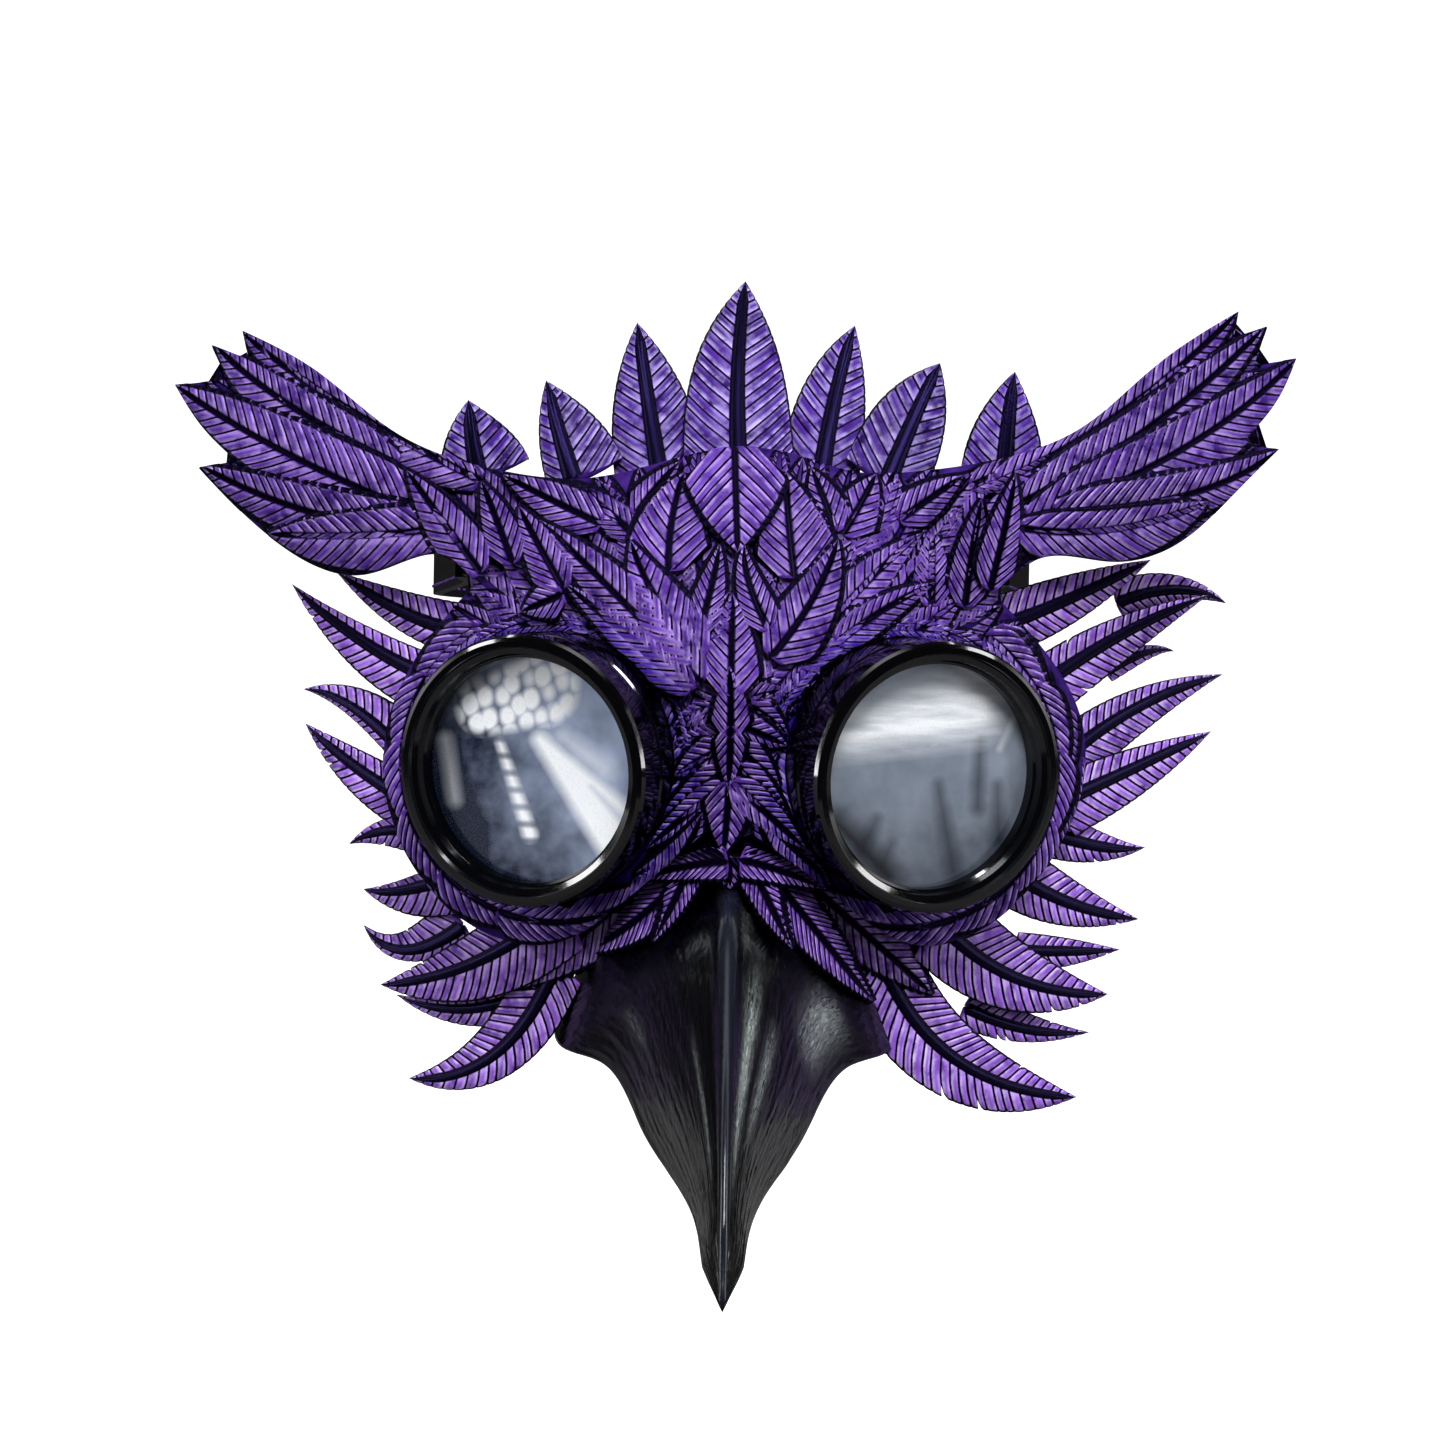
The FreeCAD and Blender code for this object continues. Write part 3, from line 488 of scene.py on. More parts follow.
class Surface:
    """A material on one principled shader, with short calls to wire nodes into it."""

    def __init__(self, name, **fixed):
        self.material = bpy.data.materials.new(name)
        self.material.use_nodes = True
        self.tree = self.material.node_tree
        self.shader = self.tree.nodes["Principled BSDF"]
        for key, value in fixed.items():
            self.shader.inputs[key.replace("_", " ")].default_value = value

    def node(self, kind, **settings):
        made = self.tree.nodes.new(kind)
        for key, value in settings.items():
            setattr(made, key, value)
        return made

    def plug(self, value, socket):
        if isinstance(value, (int, float, tuple)):
            socket.default_value = value
        else:
            self.tree.links.new(value, socket)

    def attribute(self, name):
        return self.node("ShaderNodeAttribute", attribute_name=name).outputs["Fac"]

    def place(self):
        return self.node("ShaderNodeTexCoord").outputs["Object"]

    def stretch(self, vector, scale, turn=(0.0, 0.0, 0.0)):
        mapping = self.node("ShaderNodeMapping")
        self.plug(vector, mapping.inputs["Vector"])
        mapping.inputs["Scale"].default_value = scale
        mapping.inputs["Rotation"].default_value = turn
        return mapping.outputs["Vector"]

    def noise(self, vector, scale, detail=3.0, rough=0.55):
        made = self.node("ShaderNodeTexNoise")
        self.plug(vector, made.inputs["Vector"])
        made.inputs["Scale"].default_value = scale
        made.inputs["Detail"].default_value = detail
        made.inputs["Roughness"].default_value = rough
        return made.outputs["Fac"]

    def math(self, operation, a, b=0.0, c=0.0, clamp=False):
        made = self.node("ShaderNodeMath", operation=operation, use_clamp=clamp)
        for value, socket in zip((a, b, c), made.inputs):
            self.plug(value, socket)
        return made.outputs[0]

    def plus(self, a, b):
        return self.math("ADD", a, b)

    def minus(self, a, b):
        return self.math("SUBTRACT", a, b)

    def times(self, a, b):
        return self.math("MULTIPLY", a, b)

    def most(self, a, b):
        return self.math("MAXIMUM", a, b)

    def ramp(self, value, low, high, out_low=0.0, out_high=1.0):
        made = self.node("ShaderNodeMapRange", clamp=True)
        for item, socket in zip((value, low, high, out_low, out_high), made.inputs):
            self.plug(item, socket)
        return made.outputs[0]

    def mix(self, share, a, b):
        made = self.node("ShaderNodeMix", data_type="RGBA")
        self.plug(share, made.inputs["Factor"])
        self.plug(a, made.inputs["A"])
        self.plug(b, made.inputs["B"])
        return made.outputs[2]

    def mix_number(self, share, a, b):
        made = self.node("ShaderNodeMix", data_type="FLOAT")
        self.plug(share, made.inputs[0])
        self.plug(a, made.inputs[2])
        self.plug(b, made.inputs[3])
        return made.outputs[0]

    def coat(self, colour, rough):
        self.plug(colour, self.shader.inputs["Base Color"])
        self.plug(rough, self.shader.inputs["Roughness"])

    def bump(self, height, strength, size):
        made = self.node("ShaderNodeBump")
        made.inputs["Strength"].default_value = strength
        made.inputs["Distance"].default_value = size * MM
        self.plug(height, made.inputs["Height"])
        self.plug(made.outputs["Normal"], self.shader.inputs["Normal"])


INK = tint(4, 2, 12)


def dyed_leather(name, deep, bright, lip, back=(74, 60, 78), gloss=0.40, accent=None):
    """Tooled leather: two dye tones, black antique in the cuts and pale lips, a painted highlight
    broken up like rubbed dye.
    """
    made = Surface(name, Coat_Weight=0.02, Coat_Roughness=0.2, Specular_IOR_Level=0.14,
                   Specular_Tint=tint(120, 78, 240))
    spot = made.place()
    pores = made.noise(spot, 1500.0, 4.0, 0.6)
    cloud = made.noise(spot, 85.0, 3.0)
    blotch = made.noise(spot, 320.0, 3.0)
    tone = made.math("MULTIPLY_ADD", cloud, 0.9, -0.45)
    tone = made.plus(tone, made.attribute("tone"))
    tone = made.math("MULTIPLY_ADD", blotch, 0.5, made.math("ADD", tone, -0.25), clamp=True)
    colour = made.mix(tone, tint(*deep), tint(*bright))
    if accent:
        colour = accent(made, spot, colour)
    # painted highlight on the lips of the barbs and rims, in blotches like rubbed pale dye
    rub_and_highlight = made.times(made.attribute("lip"), made.ramp(blotch, 0.32, 0.56))
    colour = made.mix(rub_and_highlight, colour, tint(*lip))
    ink = made.math("MULTIPLY_ADD", pores, -0.5, 0.25)
    ink = made.ramp(made.plus(made.attribute("ink"), ink), 0.08, 0.4)
    colour = made.mix(ink, colour, INK)
    bar = made.attribute("bar")
    colour = made.mix(bar, colour, tint(10, 9, 26))
    hide = made.attribute("back")
    fibres = made.noise(made.stretch(spot, (900.0, 900.0, 2400.0), (0.3, 0.0, 0.5)), 1.0, 4.0)
    suede = made.mix(made.ramp(fibres, 0.3, 0.7), tint(34, 27, 38), tint(*back))
    colour = made.mix(hide, colour, suede)
    rough = made.ramp(pores, 0.3, 0.7, gloss - 0.08, gloss + 0.12)
    rough = made.mix_number(bar, rough, 0.16)
    made.coat(colour, made.mix_number(hide, rough, 0.85))
    grain = made.math("MULTIPLY_ADD", made.noise(spot, 5200.0, 2.0), 0.35, pores)
    grain = made.mix_number(hide, grain, made.times(fibres, 2.0))
    made.bump(grain, 0.55, 0.16)
    return made.material


def barrel_accent(made, spot, colour):
    """Deeper blue-violet airbrush close round both goggle barrels."""
    split = made.node("ShaderNodeSeparateXYZ")
    made.plug(spot, split.inputs[0])
    across = made.minus(made.math("ABSOLUTE", split.outputs["X"]), GOGGLE_X * MM)
    radius = made.math("POWER", across, 2.0)
    radius = made.plus(radius, made.math("POWER", split.outputs["Z"], 2.0))
    radius = made.math("SQRT", radius)
    near = made.ramp(radius, 0.0285, 0.0345, 0.85, 0.0)
    return made.mix(near, colour, tint(62, 32, 158))


def plastic(name, colour, rough, coat=0.3):
    made = Surface(name, Coat_Weight=coat, Coat_Roughness=0.04)
    spot = made.place()
    haze = made.noise(spot, 240.0, 4.0)
    dust = made.noise(spot, 2600.0, 2.0)
    made.coat(made.mix(made.ramp(haze, 0.3, 0.75), tint(*colour), tint(4, 4, 9)),
              made.ramp(dust, 0.35, 0.7, rough, rough + 0.08))
    made.bump(haze, 0.06, 0.2)
    return made.material


# painted dark streaks in the right lens's painted reflection: start, end and half widths, from
# the middle of the lens
LENS_DARK_REFLECTIONS = [((2.6, -2.0), (6.5, -21.0), 0.2, 1.5), ((11.8, 8.0), (11.6, -7.0), 0.3, 0.9),
               ((16.0, -2.0), (16.5, -14.0), 0.3, 1.3), ((-10.8, -9.5), (-14.0, -16.0), 0.2, 0.9),
               ((-7.5, -15.0), (-9.6, -20.0), 0.2, 0.8)]


def lens_mirror(name, side):
    """Dark mirrored lens, with reflections of soft lights and streaks painted into its colour."""
    made = Surface(name, Coat_Weight=0.6, Coat_Roughness=0.03, Metallic=0.2)
    spot = made.place()
    centre = made.node("ShaderNodeVectorMath", operation="SUBTRACT")
    middle = goggle_point(side, 9.5)
    made.plug(spot, centre.inputs[0])
    centre.inputs[1].default_value = (middle.x * MM, middle.y * MM, middle.z * MM)
    spot = made.stretch(centre.outputs[0], (1000.0, 0.0, 1000.0))
    split = made.node("ShaderNodeSeparateXYZ")
    made.plug(spot, split.inputs[0])
    x, z = split.outputs["X"], split.outputs["Z"]

    def beam(start, end, wide_start, wide_end, soft):
        """Soft-edged bar from start to end that changes width, as a 0 to 1 mask."""
        dx, dz = end[0] - start[0], end[1] - start[1]
        square = dx * dx + dz * dz
        px = made.minus(x, start[0])
        pz = made.minus(z, start[1])
        along = made.times(px, dx / square)
        along = made.math("MULTIPLY_ADD", pz, dz / square, along, clamp=True)
        off_x = made.math("MULTIPLY_ADD", along, -dx, px)
        off_z = made.math("MULTIPLY_ADD", along, -dz, pz)
        off = made.math("SQRT", made.plus(made.math("POWER", off_x, 2.0),
                                          made.math("POWER", off_z, 2.0)))
        edge = made.math("MULTIPLY_ADD", along, wide_end - wide_start, wide_start)
        return made.ramp(made.minus(off, edge), -soft, soft, 1.0, 0.0)

    # everything below paints reflections into the lens colour: a dark to light gradient, soft
    # lights, the dots of a lamp panel, dashes, a fan of rays and dark streaks
    cloud = made.noise(spot, 0.09, 3.0)
    haze = made.noise(spot, 1.6, 3.0)
    if side < 0:
        shade = made.math("MULTIPLY_ADD", x, 0.022, made.times(z, 0.012))
        shade = made.math("ADD", made.math("MULTIPLY_ADD", cloud, 1.1, -0.2), shade, clamp=True)
        colour = made.mix(shade, tint(22, 32, 56), tint(196, 210, 238))
        speckle = made.ramp(made.noise(spot, 6.0, 2.0), 0.56, 0.72)
        colour = made.mix(made.times(speckle, 0.35), colour, tint(190, 204, 230))
        dots = made.node("ShaderNodeTexVoronoi", voronoi_dimensions="3D")
        dots.inputs["Scale"].default_value = 0.29
        dots.inputs["Randomness"].default_value = 0.45
        made.plug(made.stretch(spot, (1.0, 1.0, 0.78), (0.0, 0.35, 0.0)), dots.inputs["Vector"])
        dot = made.ramp(dots.outputs["Distance"], 0.44, 0.72, 1.0, 0.0)
        dot = made.times(dot, beam((-11.0, 13.5), (2.0, 17.5), 6.0, 8.0, 1.2))
        dashes = made.ramp(made.math("SINE", made.times(z, 1.7)), -1.0, 0.2, 0.25, 1.0)
        dashes = made.times(dashes, beam((-7.4, 6.0), (-0.4, -14.3), 0.7, 1.5, 0.9))
        fan = beam((1.6, 6.4), (20.0, -14.0), 1.5, 6.2, 1.4)
        parting = beam((13.0, -3.5), (20.0, -10.5), 0.1, 0.8, 0.9)
        fan = made.times(fan, made.math("MULTIPLY_ADD", parting, -0.6, 1.0))
        soft = made.times(beam((7.0, 7.0), (16.0, 0.5), 0.8, 1.4, 2.5), 0.6)
        edge = made.times(beam((-19.5, 6.0), (-17.5, -7.0), 1.0, 1.0, 1.8), 0.45)
        painted_reflection = dot
        for light in (dashes, fan, soft, edge):
            painted_reflection = made.most(painted_reflection, light)
    else:
        shade = made.math("MULTIPLY_ADD", cloud, 0.8, 0.05)
        shade = made.math("MULTIPLY_ADD", z, 0.02, shade, clamp=True)
        colour = made.mix(shade, tint(90, 98, 110), tint(174, 184, 199))
        dark = 0.0
        for start, end, wide_start, wide_end in LENS_DARK_REFLECTIONS:
            dark = made.most(dark, beam(start, end, wide_start, wide_end, 2.0))
        colour = made.mix(made.times(dark, 0.95), colour, tint(34, 42, 56))
        corner = beam((-20.0, -10.0), (-8.0, -22.0), 2.0, 2.5, 2.5)
        colour = made.mix(corner, colour, tint(14, 18, 28))
        swirl = made.noise(made.stretch(spot, (0.05, 1.0, 0.34), (0.0, 0.75, 0.0)), 1.0, 4.0)
        swoosh = made.times(beam((-20.0, 8.0), (9.0, 15.5), 3.2, 7.5, 3.6),
                            made.ramp(swirl, 0.3, 0.6, 0.35, 1.0))
        glints = made.most(beam((1.0, 6.5), (11.5, 11.0), 0.2, 0.7, 0.8),
                           beam((19.0, 12.5), (16.3, 6.0), 0.7, 0.2, 1.0))
        painted_reflection = made.most(swoosh, made.times(glints, 0.5))
    painted_reflection = made.math("MULTIPLY", painted_reflection, made.ramp(haze, 0.2, 0.5, 0.8, 1.0), clamp=True)
    colour = made.mix(painted_reflection, colour, (0.95, 0.97, 1.0, 1.0))
    made.coat(colour, made.ramp(haze, 0.3, 0.7, 0.12, 0.22))
    return made.material


def plain_leather(name, dark, light, rough=0.5):
    """Smooth bridle leather with pores and rubbed patches."""
    made = Surface(name, Specular_IOR_Level=0.14)
    spot = made.place()
    pores = made.noise(spot, 1400.0, 4.0, 0.6)
    worn = made.ramp(made.noise(spot, 70.0, 4.0), 0.35, 0.7)
    made.coat(made.mix(worn, tint(*dark), tint(*light)),
              made.ramp(pores, 0.3, 0.7, rough - 0.1, rough + 0.1))
    made.bump(pores, 0.6, 0.2)
    return made.material


def metal(name, colour):
    made = Surface(name, Metallic=1.0)
    spot = made.place()
    scratch = made.noise(made.stretch(spot, (300.0, 300.0, 2600.0)), 1.0, 3.0)
    tarnish = made.noise(spot, 500.0, 4.0)
    made.coat(made.mix(made.ramp(tarnish, 0.4, 0.75), tint(*colour), tint(128, 124, 120)),
              made.ramp(scratch, 0.3, 0.7, 0.2, 0.38))
    made.bump(scratch, 0.2, 0.05)
    return made.material


def rubber(name):
    made = Surface(name)
    spot = made.place()
    dust = made.noise(spot, 900.0, 4.0)
    made.coat(made.mix(dust, tint(12, 12, 14), tint(34, 34, 37)),
              made.ramp(dust, 0.3, 0.7, 0.6, 0.8))
    made.bump(dust, 0.3, 0.1)
    return made.material


# the third colour of each is the pale lip: a painted highlight, partly rubbed dye
FACE_LEATHER = dyed_leather("face_leather_dyed", (38, 15, 82), (107, 69, 164),
                            (184, 160, 218), accent=barrel_accent)
FEATHER_LEATHER = dyed_leather("feather_leather_dyed", (64, 31, 110), (166, 116, 222),
                               (224, 204, 250), gloss=0.42)
CROWN_LEATHER = dyed_leather("crown_leather_dyed", (28, 12, 60), (88, 50, 150),
                             (196, 182, 234), gloss=0.32)
BLACK_PLASTIC = plastic("goggle_plastic_black", (1, 1, 3), 0.05, 0.15)
STRAP_LEATHER = plain_leather("strap_leather_black", (8, 6, 9), (22, 17, 22))
BUCKLE_STEEL = metal("buckle_nickel", (176, 172, 168))
GASKET_RUBBER = rubber("gasket_rubber_black")
THREAD = plain_leather("thread_waxed_violet", (58, 34, 96), (104, 74, 150), 0.45)


# ---------------------------------------------------------------- face leather base
def slab(loop, holes, step, front, back):
    """Triangles between two surfaces over an x, z outline: points on both, faces and the walls
    round the rims.
    """
    rings = [loop] + list(holes)
    low, high = loop.min(axis=0), loop.max(axis=0)
    xs = np.arange(low[0], high[0], step)
    zs = np.arange(low[1], high[1], step * 0.87)
    fill = np.array([(x + (j % 2) * step / 2, z) for j, z in enumerate(zs) for x in xs])
    fill = fill[inside(fill, loop)]
    for ring in rings:
        fill = fill[distance(fill, ring) > 0.6 * step]
    for hole in holes:
        fill = fill[~inside(fill, hole)]
    flat = np.concatenate(rings + [fill])
    edges, start = [], 0
    for ring in rings:
        n = len(ring)
        edges += [(start + i, start + (i + 1) % n) for i in range(n)]
        start += n
    out = delaunay_2d_cdt([Vector(p) for p in flat], edges, [], 0, 1e-5)
    flat = np.array([(v.x, v.y) for v in out[0]])
    faces = np.array([f for f in out[2] if len(f) == 3])
    middle = flat[faces].mean(axis=1)
    keep = inside(middle, loop)
    for hole in holes:
        keep &= ~inside(middle, hole)
    faces = faces[keep]
    x, z = flat[:, 0], flat[:, 1]
    top = np.stack([x, front(x, z), z], -1)
    low_side = np.stack([x, back(x, z), z], -1)
    n = len(flat)
    pairs = np.concatenate([faces[:, [0, 1]], faces[:, [1, 2]], faces[:, [2, 0]]])
    known = set(map(tuple, pairs.tolist()))
    rim = np.array([(a, b) for a, b in pairs.tolist() if (b, a) not in known])
    walls = np.stack([rim[:, 1], rim[:, 0], rim[:, 0] + n, rim[:, 1] + n], -1)
    return top, low_side, faces, walls


def face_base():
    top, low, faces, walls = slab(OUTLINE, [HOLES[-1], HOLES[1]], 1.3,
                                  face_y, lambda x, z: face_y(x, z) + SHELL_T)
    n = len(top)
    pile = Pile()
    # the base leather is given a low tone, a painted shade where it shows in the gaps between the
    # carved feathers
    paint = np.concatenate([values((n,), tone=0.1), values((n,), back=1.0)])
    pile.add(np.concatenate([top, low]), paint, faces)
    pile.faces += [faces[:, ::-1] + n, walls]
    made = pile.build("face_leather", FACE_LEATHER)
    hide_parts("face_shell")


# ---------------------------------------------------------------- carved feathers of the face
# base, middle, tip, widths left and right of the rib; later ones lie on earlier ones
TOP_LEAVES = [
    ((-22.5, 49.5), (-26.0, 56.0), (-30.0, 63.0), (4, 4)),
    ((-21.5, 50.5), (-28.5, 56.5), (-36.0, 62.5), (3.5, 3.5)),
    ((-29.0, 53.0), (-39.5, 58.0), (-51.5, 64.0), (4.5, 4.5)),
    ((33.0, 55.0), (35.0, 60.0), (36.5, 64.5), (4, 4)),
    ((24.0, 51.5), (28.0, 58.5), (31.5, 65.5), (5, 5)),
    ((36.5, 55.0), (44.0, 60.5), (51.0, 65.5), (4, 4)),
    ((52.5, 63.0), (62.0, 67.5), (72.0, 72.0), (3, 3)),
    ((-21.5, 55.0), (-17.0, 61.5), (-12.0, 67.5), (3.5, 3.5)),
    ((22.5, 52.0), (20.0, 59.0), (17.0, 66.5), (4, 4)),
    ((-14.0, 42.5), (-13.5, 54.0), (-11.0, 65.0), (7.8, 7.4)),
    ((13.5, 41.5), (12.0, 55.5), (11.5, 65.5), (6.6, 8.7)),
]
TUFT_LEAVES = [
    ((-56.0, 62.5), (-89.5, 80.5), (-112.5, 97.0), (5.4, 4.5)),
    ((-75.0, 66.0), (-101.5, 80.5), (-118.5, 94.0), (6, 4.5)),
    ((-65.5, 53.5), (-101.0, 69.0), (-128.0, 85.0), (7, 7)),
    ((-59.5, 50.5), (-92.5, 55.0), (-121.5, 66.5), (6, 5.5)),
    ((-61.5, 52.5), (-82.5, 50.5), (-105.5, 51.0), (7, 5)),
    ((58.5, 64.0), (87.0, 81.0), (114.0, 105.0), (5, 5)),
    ((62.5, 59.0), (93.0, 77.5), (120.5, 102.0), (5, 5)),
    ((65.5, 55.5), (102.5, 74.0), (128.0, 95.0), (6, 8)),
    ((71.0, 57.5), (103.0, 63.0), (124.0, 74.0), (5, 5)),
    ((63.5, 54.0), (85.5, 54.5), (107.5, 61.5), (4, 6.7)),
]
BROW_LEAVES = [
    ((-55.5, 42.0), (-64.5, 53.5), (-73.0, 65.0), (5, 5)),
    ((-48.5, 44.0), (-52.0, 53.0), (-56.0, 62.5), (4, 4)),
    ((-37.0, 38.5), (-43.5, 49.5), (-47.5, 57.0), (4.5, 4.5)),
    ((-37.0, 37.5), (-41.5, 35.5), (-46.5, 33.5), (4, 4)),
    ((44.0, 36.0), (44.0, 45.0), (44.0, 54.5), (4, 4)),
    ((51.5, 36.0), (53.0, 48.0), (55.0, 60.5), (4, 4)),
    ((57.0, 40.0), (60.0, 53.0), (62.5, 66.0), (4, 4)),
    ((-6.5, 18.0), (-24.0, 36.0), (-43.0, 54.0), (6, 6)),
    ((-8.5, 16.5), (-23.0, 28.5), (-37.0, 40.0), (4, 4)),
    ((14.0, 22.5), (28.5, 40.0), (42.0, 52.5), (5.5, 5.5)),
    ((23.0, 27.5), (34.0, 35.5), (45.0, 41.5), (3.5, 3.5)),
    ((-6.5, 23.5), (-16.5, 36.5), (-22.5, 49.5), (6.2, 6)),
    ((8.5, 24.0), (17.5, 37.0), (23.0, 50.5), (5.4, 6.2)),
    ((-7.0, 29.0), (-4.0, 42.0), (-3.0, 49.0), (3.5, 3.5)),
    ((8.0, 30.0), (3.5, 40.5), (2.5, 49.0), (3.5, 3.5)),
    ((0.0, 71.5), (0.5, 59.0), (1.0, 47.0), (10, 10)),
]
NOSE_LEAVES = [
    ((-5.0, 28.0), (-2.5, 33.0), (-0.5, 38.5), (2.5, 2.5)),
    ((-4.5, 13.0), (-8.5, 11.0), (-12.5, 8.5), (2.5, 2.5)),
    ((-1.0, 6.5), (-7.0, 6.0), (-13.0, 5.0), (3, 3)),
    ((-0.5, 4.5), (-6.5, 1.5), (-12.0, -2.0), (3.8, 3.8)),
    ((-0.5, 0.0), (-8.0, -6.5), (-16.0, -12.5), (3.5, 3.5)),
    ((-0.5, -3.5), (-9.5, -10.5), (-18.0, -18.0), (3, 3)),
    ((4.5, 15.0), (8.5, 16.0), (12.5, 17.0), (3, 3)),
    ((4.0, 13.5), (8.5, 10.5), (12.5, 7.5), (3, 3)),
    ((2.5, 9.0), (7.5, 7.0), (12.5, 5.0), (3, 3)),
    ((1.0, 5.0), (6.0, 0.5), (11.0, -4.0), (3.5, 3.5)),
    ((1.0, 0.5), (7.0, -5.0), (13.0, -10.0), (3.5, 3.5)),
    ((0.5, -3.0), (8.5, -10.0), (17.0, -17.5), (3.5, 3.5)),
    ((0.0, -3.0), (-0.5, -11.0), (-1.0, -18.5), (4.5, 4.5)),
    ((0.0, 15.5), (0.0, 27.5), (0.0, 38.0), (5.4, 5.4)),
    ((0.0, 6.5), (0.0, 14.5), (-0.5, 22.0), (3.7, 3.7)),
    ((0.0, 9.0), (0.0, 2.5), (-0.3, -4.5), (3.0, 3.0)),
]


def leaf_loop(rib, vanes, fullness=2.2, grow=0.0):
    """Rough outline of a leaf for overlap tests."""
    v = np.linspace(0, 1, 14)
    spot, way = rib(v)
    across = np.stack([-way[:, 1], way[:, 0]], -1)
    wide = (1 - v ** fullness)[:, None]
    left = spot + across * (vanes[0] * wide + grow)
    right = spot - across * (vanes[1] * wide + grow)
    return np.concatenate([left, right[::-1]])


def leaf_middle(loop):
    half = len(loop) // 2
    return (loop[:half] + loop[half:][::-1]) / 2


def ring_leaves(side):
    """Short feathers shingled one after another round the outer side of a goggle."""
    chain = []
    angle = 60.0
    while angle > -128.0:
        start, end = (angle, angle - 42.0) if side > 0 else (180.0 - angle, 222.0 - angle)
        rib = arc_rib((side * GOGGLE_X, 0.0), 34.6, start, end)
        chain.append((rib, (5.3, 5.3)))
        angle -= 26.0
    return chain


def collar_leaves(side):
    """Narrow feathers laid lengthwise round the inner and upper side of a goggle."""
    chain = []
    angle = 208.0
    while angle > 66.0:
        start, end = (angle, angle - 40.0) if side > 0 else (180.0 - angle, 220.0 - angle)
        chain.append((arc_rib((side * GOGGLE_X, 0.0), 31.4, start, end), (2.5, 2.9)))
        angle -= 27.0
    return chain


def ground_leaves(rng):
    """Broad feathers laid in rows over the whole face, fanned out from the brow."""
    made = []
    for j, z in enumerate(np.arange(104.0, -40.0, -9.0)):
        for x in np.arange(-126.0, 127.0, 8.5):
            spot = np.array([x + (j % 2) * 4.2, z]) + rng.uniform(-0.8, 0.8, 2)
            if not inside(spot[None], OUTLINE)[0]:
                continue
            side = 1.0 if spot[0] > 0 else -1.0
            from_eye = spot - np.array([side * GOGGLE_X, 0.0])
            if np.linalg.norm(from_eye) < 27.0:
                continue
            away = spot - np.array([side * 8.0, 2.0])
            if np.linalg.norm(from_eye) < 41.0 and spot[1] < 30:
                away = np.array([from_eye[1], -from_eye[0]]) * side
                if spot[0] * side < GOGGLE_X:
                    away = -away
            away = away / np.linalg.norm(away)
            bow = spot + rng.uniform(-0.8, 0.8, 2)
            for size in (1.0, 0.7, 0.45):
                rib = bent_rib(spot - away * 11.0 * size, bow, spot + away * 10.0 * size)
                vanes = (5.6 * size, 5.6 * size)
                loop = leaf_loop(rib, vanes)
                past = loop[~inside(loop, OUTLINE)]
                if len(past) == 0 or distance(past, OUTLINE).max() < 2.5 / size ** 0.6:
                    made.append((rib, vanes))
                    break
    return made


def stacked(leaves):
    """Level of each leaf: one above the highest earlier leaf that it overlaps."""
    loops, levels = [], []
    for rib, vanes in leaves:
        loop = leaf_loop(rib, vanes, grow=-0.3)
        tests = np.concatenate([loop, leaf_middle(loop)])
        level = 0
        for other, height in zip(loops, levels):
            near = np.abs(other.mean(0) - loop.mean(0)).max() < 50
            if near and (inside(tests, other).any() or inside(leaf_middle(other), loop).any()):
                level = max(level, height + 1)
        loops.append(loop)
        levels.append(min(level, 5))
    return levels


def carve_face():
    rng = np.random.default_rng(11)
    named = []
    for group in (TOP_LEAVES, TUFT_LEAVES, BROW_LEAVES, NOSE_LEAVES):
        named += [(bent_rib(*spec[:3]), tuple(1.22 * vane for vane in spec[3])) for spec in group]
    ground = ground_leaves(rng)
    leaves = named + ring_leaves(-1) + ring_leaves(1)
    collars = collar_leaves(-1) + collar_leaves(1)
    levels = [0.12 * (i % 3) for i in range(len(ground))]
    levels += [0.55] * len(collars)
    levels += [0.65 + 0.38 * level for level in stacked(leaves)]
    everything = ground + collars + leaves
    piles = {"left": Pile(), "right": Pile(), "brow": Pile(), "nose": Pile()}
    for i, ((rib, vanes), level) in enumerate(zip(everything, levels)):
        x, z = rib(np.array([0.5]))[0][0]
        where = "left" if x < -40 else "right" if x > 40 else "brow" if z > 30 else "nose"
        style = dict(CARVED)
        wide = max(vanes)
        style["spacing"] = np.clip(1.4 + 0.18 * wide, 1.8, 2.9)
        style["slant"] = 0.9 if wide > 5.5 else 1.1
        style["lift"] = 0.45 if i < len(ground) else 0.0
        tuft = abs(x) > 80 and i >= len(ground)
        leaf(piles[where], rib, vanes, 4.2 if tuft else 2.4 if wide > 4.4 else 2.2,
             trimmed_face(leaf_loop(rib, vanes, 4.2 if tuft else 2.4, 1.0)), style, rng, level)
    for where, pile in piles.items():
        made = pile.build("carving_" + where, FACE_LEATHER)


# ---------------------------------------------------------------- loose feathers
SMALL_VANE = 6.0         # feathers narrower than this have a thin midrib
